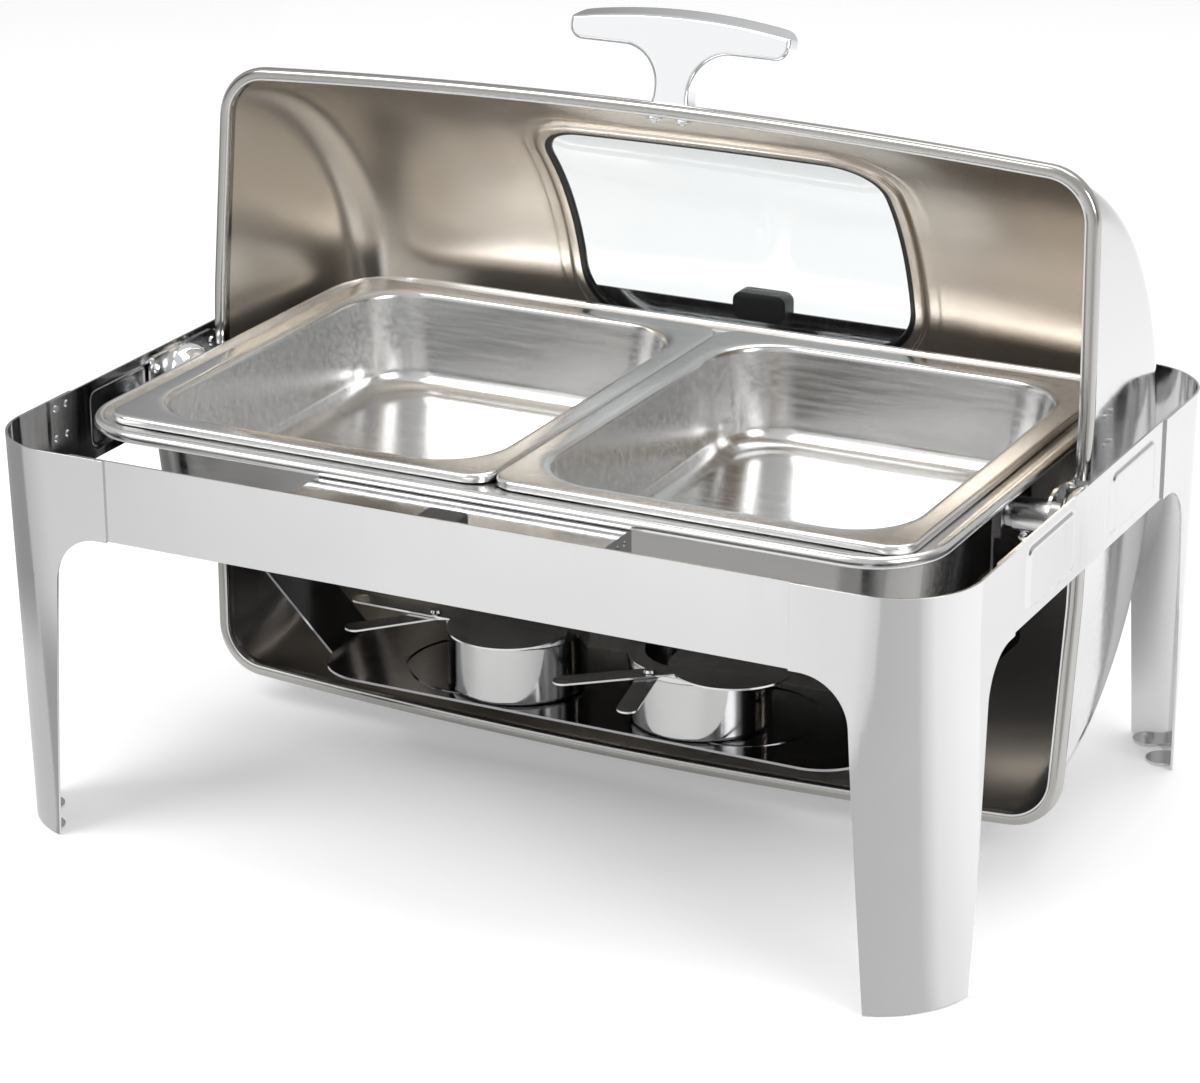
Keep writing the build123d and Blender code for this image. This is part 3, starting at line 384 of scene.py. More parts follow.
def leg_solid():
    """Front right leg as a closed sheet."""
    vertices, faces, outlines = [], [], []
    for skin, inset in enumerate((0.0, SHEET)):
        rows, narrow = leg_skin(inset)
        numbers = []
        for index, row in enumerate(rows):
            if index == narrow:           # the shoulder row reuses the narrow row below it
                below = numbers[-1]
                start = len(vertices)
                vertices += row[:WING_COLUMNS] + row[-WING_COLUMNS:]
                numbers.append(list(range(start, start + WING_COLUMNS)) + below
                               + list(range(start + WING_COLUMNS, start + 2 * WING_COLUMNS)))
            else:
                start = len(vertices)
                vertices += row
                numbers.append(list(range(start, start + len(row))))
        pairs = [(numbers[k], numbers[k + 1]) for k in range(len(numbers) - 1) if k + 1 != narrow]
        for low, high in pairs:
            for k in range(len(low) - 1):
                quad = [low[k], low[k + 1], high[k + 1], high[k]]
                faces.append(quad[::-1] if skin else quad)
        shoulder = numbers[narrow]
        outline = list(numbers[0])
        outline += [numbers[k][-1] for k in range(1, narrow)] + shoulder[-WING_COLUMNS:]
        outline += [row[-1] for row in numbers[narrow + 1:]]
        outline += numbers[-1][-2::-1]
        outline += [row[0] for row in numbers[narrow:-1]][::-1] + shoulder[1:WING_COLUMNS]
        outline += [numbers[k][0] for k in range(narrow - 1, 0, -1)]
        outlines.append(outline)
    outer, inner = outlines
    for k in range(len(outer)):
        n = (k + 1) % len(outer)
        faces.append([outer[n], outer[k], inner[k], inner[n]])
    return vertices, faces


def foot_tab(centre, steps=28):
    """Round tab at the floor, cut off just inside the leg's outer face."""
    middle = Vector((HALF_L - CORNER_FOOT, -(HALF_D - CORNER_FOOT)))
    limit = CORNER_FOOT - TAB_INSET
    rim = []
    for k in range(steps):
        point = Vector(centre) + Vector((cos(2 * pi * k / steps), sin(2 * pi * k / steps))) * TAB_RADIUS
        from_middle = point - middle
        if from_middle.length > limit:
            point = middle + from_middle.normalized() * limit
        rim.append(point)
    return stacked([[(p.x, p.y, z) for p in rim] for z in (0.0, SHEET)])


front_right = merged(leg_solid(), *[foot_tab(centre) for centre in FOOT_TABS])
for name, flips in (("front_right_leg", ()), ("front_left_leg", (0,)), ("rear_right_leg", (1,)),
                    ("rear_left_leg", (0, 1))):
    solid = front_right
    for axis in flips:
        solid = mirrored(solid, axis)
    bevel(piece(f"{name}_sheet", *solid, "stand", "polished_steel", mirror_steel, (name,)), 0.5)


# ---- side rails ----
RAIL_FACE_X, RAIL_HALF_Y, RAIL_LOW, RAIL_HIGH = 313.5, 150.0, 202.0, 253.0
RAIL_COLUMNS, RAIL_ROWS = 240, 48
PANEL_Y, PANEL_HALF_Y, PANEL_HALF_Z, PANEL_CORNER, PANEL_RAMP = 69.0, 38.0, 19.5, 7.0, 2.6
PANEL_OUT = SHEET - 0.05


def panel_rise(y, z):
    """Share of its full height that a pressed panel stands out of a side rail at a point."""
    past_y = abs(abs(y) - PANEL_Y) - (PANEL_HALF_Y - PANEL_CORNER)
    past_z = abs(z - (RAIL_LOW + RAIL_HIGH) / 2) - (PANEL_HALF_Z - PANEL_CORNER)
    inside = PANEL_CORNER - hypot(max(past_y, 0), max(past_z, 0)) - min(max(past_y, past_z), 0)
    share = min(max(inside / PANEL_RAMP, 0), 1)
    return share * share * (3 - 2 * share)


def side_rail():
    """Right side rail: a sheet with two soft-edged pressed panels."""
    ys = [k * 2 * RAIL_HALF_Y / RAIL_COLUMNS - RAIL_HALF_Y for k in range(RAIL_COLUMNS + 1)]
    zs = [RAIL_LOW + (RAIL_HIGH - RAIL_LOW) * k / RAIL_ROWS for k in range(RAIL_ROWS + 1)]
    vertices, faces = [], []
    for x in (RAIL_FACE_X, RAIL_FACE_X - SHEET):
        vertices += [(x + PANEL_OUT * panel_rise(y, z), y, z) for z in zs for y in ys]
    columns, rows = len(ys), len(zs)
    back = columns * rows
    for row in range(rows - 1):
        for column in range(columns - 1):
            first = row * columns + column
            quad = [first, first + 1, first + 1 + columns, first + columns]
            faces += [quad, [back + number for number in quad[::-1]]]
    rim = list(range(columns)) + [k * columns - 1 for k in range(2, rows + 1)]
    rim += [back - 1 - k for k in range(1, columns)] + [k * columns for k in range(rows - 2, 0, -1)]
    for k, number in enumerate(rim):
        after = rim[(k + 1) % len(rim)]
        faces.append([after, number, back + number, back + after])
    return vertices, faces


right_rail = side_rail()
for name, solid in (("right", right_rail), ("left", mirrored(right_rail, 0))):
    piece(f"{name}_rail_sheet", *solid, "stand", "polished_steel", mirror_steel, (f"{name}_side_rail",))


# ---- pans ----
PAN_SHEET = 0.8
WATER_HALF, WATER_RIM, WATER_FLOOR, WATER_DRAFT = (253.5, 150.0), (280.0, 183.0), 176.0, 5
FOOD_HALF, FOOD_FLOOR, FOOD_DRAFT, FOOD_MID_X = (115.7, 146.2), 192.0, 7, 132.5


def pan_loops(profile, centre=(0.0, 0.0)):
    """Loops from (half length, half width, corner radius, height) entries."""
    return [rounded_rectangle(*entry, centre=centre) for entry in profile]


def wall(top, bottom, half_top, draft, fillet_radius, corner):
    """Drafted wall with a rounded foot, as profile entries going up between two heights."""
    entries = []
    half_x, half_y = half_top
    for x_in, z in arc((-fillet_radius, bottom + fillet_radius), fillet_radius, -90, 0, 8):
        turn = corner - draft / 2 + max(x_in, 2 - corner)
        entries.append((half_x - draft + x_in, half_y - draft + x_in, turn, z))
    return entries + [(half_x, half_y, corner, top)]


def grown(half, more):
    """Half sizes larger by a thickness."""
    return tuple(size + more for size in half)


def edge_bead(half, corner, low, high, steps=10):
    """Half-round outer edge of a rolled rim."""
    radius = (high - low) / 2
    return [(half[0] - radius + x, half[1] - radius + x, corner - radius + x, z)
            for x, z in arc((0, low + radius), radius, -90, 90, steps)]


# each profile runs up the outside, round the rim and down the inside
water_wall = wall(248.2, WATER_FLOOR, grown(WATER_HALF, PAN_SHEET), WATER_DRAFT, 12, 40.0)
water_profile = water_wall + [(256.3, 152.8, 40, 250.2), (272.4, 175.4, 40.4, 250.2)]
water_profile += [(273.0, 176.0, 41, 249.6)]
water_profile += edge_bead(WATER_RIM, 48, 247.5, 255.2)
water_profile += [(274.6, 177.6, 42.6, 254.6), (273.0, 176.0, 41, 252.2), (271.8, 174.8, 39.8, 251.0)]
water_profile += [(256.5, 153.0, 40, 251.0), (254.4, 150.9, 40, 250.2), (*WATER_HALF, 39.5, 248.2)]
water_profile += wall(248.0, WATER_FLOOR + PAN_SHEET, WATER_HALF, WATER_DRAFT, 11.5, 39.5)[-2::-1]
water_loops = pan_loops(water_profile)
outer_wall = range(1, 1 + len(water_wall) * len(water_loops[0]))
piece("water_pan_sheet", *stacked(water_loops), "water_pan", "satin_steel", pan_steel, ("water_pan",),
      others=((shaded_steel, outer_wall),))

food_profile = wall(252.5, FOOD_FLOOR, grown(FOOD_HALF, PAN_SHEET), FOOD_DRAFT, 15, 46.0)
food_profile += [(117.1, 147.6, 46, 254.9), (119.0, 149.5, 45, 256.0), (130.0, 160.5, 15, 256.0)]
food_profile += [(130.8, 161.3, 15, 255.0), (130.8, 161.3, 15, 251.6), (131.4, 161.9, 15.4, 251.4)]
food_profile += [(132.0, 162.5, 16, 252.0)]
food_profile += [(129.6 + x, 160.1 + x, 13.6 + x, z) for x, z in arc((0, 254.6), 2.4, 0, 90, 6)]
food_profile += [(121.0, 151.5, 44, 257.0), (118.7, 149.2, 45, 256.9), (116.8, 147.3, 45.2, 256.0)]
food_profile += [(115.9, 146.4, 45.2, 254.6)]
food_profile += wall(252.5, FOOD_FLOOR + PAN_SHEET, FOOD_HALF, FOOD_DRAFT, 14.5, 45.2)[::-1]
for sign, name in ((-1, "left_food_pan"), (1, "right_food_pan")):
    food_solid = stacked(pan_loops(food_profile, (sign * FOOD_MID_X, 0.0)))
    piece(f"{name}_sheet", *food_solid, name, "satin_steel", pan_steel, (name,))


# ---- lid ----
HOLE_X, HOLE_LOW, HOLE_HIGH = 151.0, radians(-0.8), radians(65.2)     # grid block left out for the window
HOLE_COLUMNS, HOLE_ROWS, REAR_ROWS, FRONT_ROWS = 28, 48, 40, 10       # columns are counted from the middle
END_WALL_X = 283.0                                                    # the end walls lie past this
FRAME_RINGS = ((21, 0.0), (17.6, 0.0), (16.6, -0.08), (15.6, -0.25), (14.6, -0.3), (9.6, -0.3), (8.4, -0.45),
               (7.5, -0.9), (6.9, -1.6), (6.3, -2.4), (5.6, -2.95), (4.7, -LIP_DROP), (1.2, -LIP_DROP),
               (0.4, -LIP_DROP), (0.0, -LIP_DROP))                    # margin round the window, rise
BEAD_HEIGHT = 24.0                                                    # over the pivot axis
BEAD_SECTION = [(-1.5, 27.2), (-1.5, 23.2)]                           # out from the lid, over the axis
BEAD_SECTION += [(1.9 + x, 23.4 + z) for x, z in arc((0, 0), 3.4, 180, 270, 7)]
BEAD_SECTION += [(3.6 + x, 23.4 + z) for x, z in arc((0, 0), 3.4, 270, 360, 7)]
BEAD_SECTION += [(7.0, 26.4), (6.5, 27.5), (5.4, 28.0), (-0.9, 28.0)]
NOTCH_RADIUS = 31.0                                                   # the bead stops here, round the pivots

DOME = Vector((0, cos(OPEN_TILT), -sin(OPEN_TILT)))       # into the dome
FRONT_WAY = Vector((0, sin(OPEN_TILT), cos(OPEN_TILT)))   # towards the lid's front edge, up when open
AXIS = Vector((0, 0, AXIS_Z))


def on_lid(x, radius, phi):
    """Point of the lid from its length position, its distance from the pivot axis and its turn."""
    return tuple(AXIS + Vector((x, 0, 0)) + (DOME * cos(phi) + FRONT_WAY * sin(phi)) * radius)


def barrel_radius(x, grow):
    """Radius of the barrel's bowed top at a length position."""
    half, sagitta = LID_HALF + grow, BARREL_MID - BARREL_END
    bow = (half ** 2 + sagitta ** 2) / (2 * sagitta)
    return BARREL_MID + grow - bow + sqrt(bow ** 2 - x ** 2)


def lid_profile(grow):
    """Right half of the lid's section, from the pivot along the end wall and the barrel: (x, radius)."""
    half, hub = LID_HALF + grow, LID_HALF + END_BULGE + grow
    sagitta = BARREL_MID - BARREL_END
    bow = (half ** 2 + sagitta ** 2) / (2 * sagitta)
    bow_centre = Vector((0, BARREL_MID + grow - bow))
    radius = LID_EDGE + grow
    low, high = Vector((hub, END_FLAT)), Vector((half, BARREL_END + grow))
    way = (high - low).normalized()
    inward = Vector((-way.y, way.x))
    near, far = 0.0, (high - low).length
    for _ in range(60):
        middle = (near + far) / 2
        centre = low + way * middle + inward * radius
        if (centre - bow_centre).length < bow - radius:
            near = middle
        else:
            far = middle
    centre = low + way * near + inward * radius
    out = (centre - bow_centre).normalized()
    start = atan2(-inward.y, -inward.x)
    end = atan2(out.y, out.x)
    points = [(hub, r) for r in (MOUTH_LOW, 21.5, 24, 28, 34, 42, 52, END_FLAT)]
    points += [tuple(low + way * (near * k / 7)) for k in range(1, 7)]
    points += [(centre.x + radius * cos(start + (end - start) * k / 12),
                centre.y + radius * sin(start + (end - start) * k / 12)) for k in range(13)]
    last = points[-1][0]
    xs = [last + (HOLE_X - last) * k / 9 for k in range(1, 10)]
    xs += [HOLE_X * (1 - k / HOLE_COLUMNS) for k in range(1, HOLE_COLUMNS + 1)]
    points += [(x, barrel_radius(x, grow)) for x in xs]
    return points


def row_turns():
    """Turn of each row of the lid's grid as a share of the turn to the mouth, rear edge to front edge."""
    full = acos(MOUTH_LOW / BARREL_MID)
    low, high = HOLE_LOW / full, HOLE_HIGH / full
    shares = [-1 + (low + 1) * k / REAR_ROWS for k in range(REAR_ROWS)]
    shares += [low + (high - low) * k / HOLE_ROWS for k in range(HOLE_ROWS)]
    return shares + [high + (1 - high) * k / FRONT_ROWS for k in range(FRONT_ROWS + 1)]


def window_distance(a, b, margin):
    """Signed distance from a point of the window's plane to the window's outline grown by a margin."""
    past_x = abs(a) - (WINDOW_HALF_X - WINDOW_RADIUS)
    past_y = abs(b) - (WINDOW_HALF_Y - WINDOW_RADIUS)
    return hypot(max(past_x, 0), max(past_y, 0)) + min(max(past_x, past_y), 0) - WINDOW_RADIUS - margin


def window_point(direction, margin):
    """Point on the window's outline grown by a margin, in a direction from the window's middle."""
    near, far = 0.0, 3.0
    for _ in range(40):
        middle = (near + far) / 2
        if window_distance(direction[0] * middle, direction[1] * middle, margin) < 0:
            near = middle
        else:
            far = middle
    return direction[0] * near, direction[1] * near


def window_to_lid(a, b, grow):
    """Point of the lid's surface over a point of the window's plane; b runs to the rear edge."""
    radius = barrel_radius(a, grow)
    return on_lid(a, radius, WINDOW_PHI - asin(b / radius))


def lid_shell():
    """Lid sheet with the window's pressed frame, its inner faces, and the directions round the window."""
    vertices, faces, inner_faces, edges, rims = [], [], [], [], []
    shares = row_turns()
    hole_low, hole_high = REAR_ROWS, REAR_ROWS + HOLE_ROWS
    for skin, grow in enumerate((0.0, -LID_SHEET)):
        half = lid_profile(grow)
        profile = half + [(-x, r) for x, r in half[-2::-1]]
        middle = len(half) - 1
        hole_left, hole_right = middle - HOLE_COLUMNS, middle + HOLE_COLUMNS
        start = len(vertices)
        rows = len(shares)
        for x, radius in profile:
            limit = acos(min(MOUTH_LOW / radius, 1.0))
            vertices += [on_lid(x, radius, share * limit) for share in shares]

        def number(column, row):
            return start + column * rows + row

        added = []
        for column in range(len(profile) - 1):
            for row in range(rows - 1):
                if hole_left <= column < hole_right and hole_low <= row < hole_high:
                    continue
                added.append([number(column, row), number(column + 1, row), number(column + 1, row + 1),
                              number(column, row + 1)])
        loop = [number(c, hole_low) for c in range(hole_left, hole_right)]
        loop += [number(hole_right, r) for r in range(hole_low, hole_high)]
        loop += [number(c, hole_high) for c in range(hole_right, hole_left, -1)]
        loop += [number(hole_left, r) for r in range(hole_high, hole_low, -1)]
        directions = []
        for index in loop:
            offset = Vector(vertices[index]) - AXIS
            phi = atan2(offset.dot(FRONT_WAY), offset.dot(DOME))
            radius = Vector((offset.dot(FRONT_WAY), offset.dot(DOME))).length
            directions.append((offset.x, radius * sin(WINDOW_PHI - phi)))
        previous = loop
        for margin, rise in FRAME_RINGS:
            ring = list(range(len(vertices), len(vertices) + len(loop)))
            for direction in directions:
                vertices.append(window_to_lid(*window_point(direction, margin), grow + rise))
            for k in range(len(loop)):
                n = (k + 1) % len(loop)
                added.append([previous[k], previous[n], ring[n], ring[k]])
            previous = ring
        rims.append(previous)
        if skin:
            inner_faces += range(len(faces), len(faces) + len(added))
            faces += added
        else:
            faces += [face[::-1] for face in added]
        edges.append([[number(c, 0) for c in range(len(profile))],
                      [number(c, rows - 1) for c in range(len(profile))]])
    for outer, inner in zip(*edges):
        for k in range(len(outer) - 1):
            faces.append([outer[k], outer[k + 1], inner[k + 1], inner[k]])
    for k in range(len(rims[0])):
        n = (k + 1) % len(rims[0])
        faces.append([rims[0][k], rims[0][n], rims[1][n], rims[1][k]])
    return vertices, faces, inner_faces, directions


def bead_half(front):
    """Rolled bead round the front or the rear half of the mouth, from one pivot notch to the other."""
    half = [(x, r) for x, r in lid_profile(0.0) if r > NOTCH_RADIUS + 0.5]
    profile = [(half[0][0], NOTCH_RADIUS)] + half
    profile += [(-x, r) for x, r in profile[-2::-1]]
    path = [Vector((x, sqrt(r ** 2 - BEAD_HEIGHT ** 2))) for x, r in profile]
    loops = []
    for k, point in enumerate(path):
        before, after = path[max(k - 1, 0)], path[min(k + 1, len(path) - 1)]
        way = (after - before).normalized()
        normal = Vector((way.y, -way.x))
        loop = []
        for out, height in BEAD_SECTION:
            spot = point + normal * out
            loop.append(tuple(AXIS + Vector((spot.x, 0, 0)) + FRONT_WAY * (spot.y * front) + DOME * height))
        loops.append(loop if front > 0 else loop[::-1])
    return stacked(loops)


shell_vertices, shell_faces, shell_inner, window_directions = lid_shell()
shell = merged((shell_vertices, shell_faces), bead_half(1), bead_half(-1))
bead_faces = range(len(shell_faces), len(shell[1]))
end_faces = [k for k in shell_inner if max(abs(shell_vertices[v][0]) for v in shell_faces[k]) > END_WALL_X]
piece("lid_shell_sheet", *shell, "lid", "satin_steel", lid_outer_steel, ("lid_shell",),
      others=((lid_inner_steel, shell_inner), (lid_end_steel, end_faces), (shaded_rim_steel, bead_faces)))


def window_ring(margin, rise):
    """Loop round the window at a margin from its outline and a rise over the lid."""
    return [window_to_lid(*window_point(direction, margin), rise) for direction in window_directions]


GASKET_SECTION = ((2.0, -3.1), (2.0, -0.4), (1.5, 0.3), (0.7, 0.7), (-2.6, 0.7), (-3.5, 0.5), (-4.0, 0.0),
                  (-4.0, -3.3), (-3.7, -3.75), (-3.0, -3.9), (-0.8, -3.9), (-0.1, -3.7), (-0.1, -3.1))
gasket_loops = [window_ring(margin, rise) for margin, rise in GASKET_SECTION]
ring_count = len(window_directions)
gasket_vertices = [point for loop in gasket_loops for point in loop]
gasket_faces = []
for level in range(len(gasket_loops)):
    gasket_faces += bridge(level * ring_count, (level + 1) % len(gasket_loops) * ring_count, ring_count)
piece("window_gasket_ring", gasket_vertices, gasket_faces, "lid", "gasket_rubber", gasket_rubber,
      ("window_gasket",))


def glass_solid():
    """Curved pane: nested rings shrinking to the middle on both faces."""
    outline = [window_point(d, -1.0) for d in window_directions]
    vertices, faces, rims = [], [], []
    for face, grow in enumerate((-GLASS_DROP, -GLASS_DROP - GLASS)):
        previous = None
        for share in (1.0, 0.9, 0.78, 0.65, 0.52, 0.39, 0.26, 0.13):
            start = len(vertices)
            vertices += [window_to_lid(a * share, b * share, grow) for a, b in outline]
            if previous is None:
                rims.append(start)
            else:
                faces += bridge(previous, start, ring_count, flip=bool(face))
            previous = start
        vertices.append(window_to_lid(0, 0, grow))
        centre = len(vertices) - 1
        for k in range(ring_count):
            fan = [previous + k, previous + (k + 1) % ring_count, centre]
            faces.append(fan[::-1] if face else fan)
    faces += bridge(rims[1], rims[0], ring_count)
    return vertices, faces


piece("window_pane", *glass_solid(), "lid", "glass", window_glass, ("window_glass",))


# ---- lid handle ----
HANDLE_Y, HANDLE_HALF_DEPTH, HANDLE_ROUND = 82.0, 7.5, 2.5
HANDLE_LEAN, HANDLE_TURN_Z = radians(18.0), 412.0
CREST_DROP, CREST_DEPTH = 6.0, 12.0             # the top falls by this towards the front, over this depth
BAR_TOP, BAR_FALL, BAR_HALF = 482.3, 6.6, 75.0
BAR_UNDERSIDE, BAR_END, BAR_END_Z = 456.7, 9.0, (465.7, 468.0)      # radius and heights of its round ends
NECK_HALF, NECK_FLARE, FOOT_HALF = 12.0, 25.0, 14.7
FLARE_Z, FLARE_RUN, FLARE_OUT = 427.0, 35.0, 8.0  # below this the neck widens by 8 in 35


def crest(x, drop):
    """Height of the bar's bowed top."""
    return BAR_TOP - BAR_FALL * (x / BAR_HALF) ** 2 - drop


def handle_outline(inset, drop):
    """Upright T's outline from its foot, drawn in by an inset and its top lowered: (x, z, is foot)."""
    neck, round_end, end_x = NECK_HALF - inset, BAR_END - inset, BAR_HALF - BAR_END
    foot = [(x * (FOOT_HALF - inset) / FOOT_HALF, 0.0, True) for x in (0.0, 5.0, 10.0, FOOT_HALF)]
    half = [(neck + (FLARE_Z - z) * FLARE_OUT / FLARE_RUN, z) for z in (418.0, 420.5, 423.0, 425.0, FLARE_Z)]
    half += [(NECK_HALF + NECK_FLARE - x, BAR_UNDERSIDE - NECK_FLARE + z)
             for x, z in arc((0, 0), NECK_FLARE + inset, 0, 90, 18)]
    half += [(x, BAR_UNDERSIDE + inset) for x in (48.0, 58.0)]
    half += [(end_x + x, BAR_END_Z[0] + z) for x, z in arc((0, 0), round_end, -90, 0, 9)]
    half += [(end_x + x, BAR_END_Z[1] + z) for x, z in arc((0, 0), round_end, 15, 81, 7)]
    half += [(x, crest(x, inset)) for x in (62.0, 54.0, 46.0, 38.0, 30.0, 22.0, 14.0, 7.0, 0.0)]
    half = foot + [(x, min(z, crest(x, drop + inset * 0.4)), False) for x, z in half]
    return half + [(-x, z, is_foot) for x, z, is_foot in half[-2:0:-1]]


def handle_solid():
    """Handle as outlines from its front face to its back, drawn in towards both faces, then leant back."""
    face, turns = -HANDLE_HALF_DEPTH, [radians(a) for a in range(0, 91, 10)]
    rounding = [(face + HANDLE_ROUND * (1 - cos(t)), HANDLE_ROUND * (1 - sin(t))) for t in turns]
    slices = rounding + [(face + y, 0.0) for y in (4.0, 6.0, 8.0, 10.0, 11.0)]
    slices += [(-y, inset) for y, inset in rounding[::-1]]
    up = Vector((sin(HANDLE_LEAN), cos(HANDLE_LEAN)))
    back = Vector((cos(HANDLE_LEAN), -sin(HANDLE_LEAN)))
    loops = []
    for depth, inset in slices:
        drop = max(0.0, CREST_DROP * (1 - (depth - face) / CREST_DEPTH))
        loop = []
        for x, z, foot in handle_outline(inset, drop):
            start = Vector((HANDLE_Y, HANDLE_TURN_Z - AXIS_Z)) + back * depth
            if foot:            # the foot ends on the dome
                reach = start.dot(up)
                height = sqrt(reach ** 2 - start.length_squared + barrel_radius(x, -0.4) ** 2) - reach
            else:
                height = z - HANDLE_TURN_Z
            spot = start + up * height
            loop.append((x, spot.x, AXIS_Z + spot.y))
        loops.append(loop)
    return stacked(loops)


weighted(piece("lid_handle_cast", *handle_solid(), "lid", "chrome", chrome, ("lid_handle",), sharp=50))

screw_way = Vector((0, cos(HANDLE_POLAR), sin(HANDLE_POLAR)))
screw_seat = AXIS + screw_way * (BARREL_MID - LID_SHEET - 0.1)
screw_profile = [(0.0, 0.0), (0.0, 5.2), (0.5, 5.5), (1.2, 5.4), (2.0, 4.6), (2.6, 3.2), (2.8, 2.4),
                 (3.8, 2.2), (4.2, 1.7), (4.3, 0.0)]
heads = [lathe(screw_profile, screw_seat + Vector((x, 0, 0)), -screw_way, (1, 0, 0), 32)
         for x in (-HANDLE_SCREW_X, HANDLE_SCREW_X)]
piece("handle_screw_heads", *merged(*heads), "lid", "chrome", chrome, ("handle_screws",))


# ---- fuel holders ----
HOLDER_CENTRES = {"left": (-60.0, -12.0), "right": (68.0, -12.0)}
TRAY_TOP, CUP_RADIUS = 63.5, 45.0
cup_profile = [(0.0, 0.0), (0.0, 40.5)]                     # height over the tray, radius
cup_profile += [(z, CUP_RADIUS - 3.0 + x) for x, z in arc((0, 3.0), 3.0, -90, 0, 6)]
cup_profile += [(37.4, CUP_RADIUS), (38.2, 45.2), (38.8, 45.9), (39.4, 46.5), (42.4, 46.5), (43.0, 46.0),
                (43.0, 44.6), (42.4, 44.0), (4.0, 44.0), (2.2, 43.2), (1.2, 41.4), (1.0, 39.0), (1.0, 0.0)]
for side, (x, y) in HOLDER_CENTRES.items():
    cup = lathe(cup_profile, (x, y, TRAY_TOP), (0, 0, 1), (1, 0, 0), 96)
    piece(f"{side}_fuel_cup", *cup, f"{side}_fuel_holder", "sheet_steel", cup_steel, (f"{side}_fuel_holder",))


# ---- pivots ----
PLATE_X, SHAFT_RADIUS, COVER_RADIUS = 310.5, 10.3, 23.0
dome_profile = [(0.0, SHAFT_RADIUS), (0.0, COVER_RADIUS), (1.0, COVER_RADIUS), (3.5, 22.7), (6.5, 21.8),
                (9.5, 20.2), (12.0, 17.9), (13.4, 15.8), (14.0, 14.2), (14.0, SHAFT_RADIUS)]
shaft_profile = [(0.0, 0.0), (0.0, SHAFT_RADIUS), (43.4, SHAFT_RADIUS), (44.0, 9.7), (44.0, 9.3),
                 (47.4, 9.3), (48.2, 8.8), (48.2, 6.0), (52.4, 6.0), (52.8, 5.6), (52.8, 0.0)]
for side, sign in (("left", -1), ("right", 1)):
    line = ((sign * PLATE_X, 0, AXIS_Z), (-sign, 0, 0), (0, 1, 0))
    piece(f"{side}_pivot_cover", *lathe(dome_profile, *line), "stand", "chrome", chrome,
          (f"{side}_pivot_dome",))
    piece(f"{side}_pivot_pin", *lathe(shaft_profile, *line), "stand", "chrome", pan_steel,
          (f"{side}_pivot_shaft",))


# ---- CAD pieces that keep their shape ----
FINISHES = {
    mirror_steel: ("front_rail", "rear_rail", "front_ledge"),
    sheet_steel: ("left_pivot_plate", "right_pivot_plate", "left_holder_cover", "right_holder_cover",
                  "left_shutter", "right_shutter", "left_lid_hinge_ear", "right_lid_hinge_ear"),
    shaded_tray_steel: ("fuel_tray",),
    chrome: ("rail_rivets", "pivot_plate_screws", "shaft_set_screws", "left_shutter_rivet",
             "right_shutter_rivet"),
    bumper_rubber: ("front_bumper", "rear_bumper"),
}
for material, names in FINISHES.items():
    for name in names:
        node = NODES[name]
        node.data.materials.clear()
        node.data.materials.append(material)
        for polygon in node.data.polygons:
            polygon.use_smooth = True
        node.data.set_sharp_from_angle(angle=radians(30))
for name in ("front_ledge", "fuel_tray", "left_holder_cover", "right_holder_cover", "left_shutter",
             "right_shutter", "left_pivot_plate", "right_pivot_plate"):
    bevel(NODES[name], 0.25)


# ---- studio ----
VIEW_TURN, VIEW_FALL = 26.9, 0.374      # the view comes from this turn past -Y and falls this steeply
FLOOR_Z, GLOW_Z = -0.0005, -0.0003      # metres, both just under the feet
GLOW_HEIGHTS = (0, 8, 20, 40, 60, 80, 95, 105, 115, 125, 140, 155, 170, 185, 200, 206, 211, 216, 230, 245,
                253, 400, 1100)


def ramped(value, low, high):
    """0 up to low, 1 from high on."""
    return min(max((value - low) / (high - low), 0.0), 1.0)


def left_tone(facing, z):
    """Tone shown by the left front corner where it faces a turn from the front, at a height."""
    upper = 0.82 + 0.005 * facing if facing > -24 else 0.55
    lower = 0.60 if facing > -22 else 0.73
    return lower + (upper - lower) * ramped(z, 100, 150)


def front_tone(share, z):
    """Tone shown along the front."""
    return 0.82 + 0.06 * ramped(share, -1.0, -0.2) + 0.02 * ramped(z, 205, 245)


def right_tone(facing, z):
    """Tone shown by the right front corner: a band, a flat, then past a crease a bright round."""
    band = 14 * ramped(z, 105, 170)
    crease = 50 - 10 * ramped(z, 0, 200)
    if facing < band:
        return 0.88 - 0.09 * facing / band
    if facing < crease:
        return 0.70 + 0.03 * ramped(facing, band, crease)
    past = facing - crease
    bright = 0.78 + 0.13 * ramped(past, 0, 10) + 0.05 * ramped(past, 10, 30)
    return bright - 0.05 * (1 - ramped(z, 0, 150))


def side_tone(share, z):
    """Tone shown along the right side."""
    return 0.90 + 0.05 * ramped(z, 206, 216) - 0.05 * ramped(share, 0.4, 1.0) * (1 - ramped(z, 206, 216))


def glow_material(name, strength):
    """Light-giving material that reflects nothing itself."""
    material, tree, shader = new_material(name)
    shader.inputs["Emission Strength"].default_value = strength
    shader.inputs["Base Color"].default_value = (0, 0, 0, 1)
    shader.inputs["Specular IOR Level"].default_value = 0.0
    return material, tree, shader


def reflected_only(obj):
    """Stage piece that shows only in reflections."""
    obj.visible_camera = obj.visible_diffuse = obj.visible_shadow = obj.visible_transmission = False


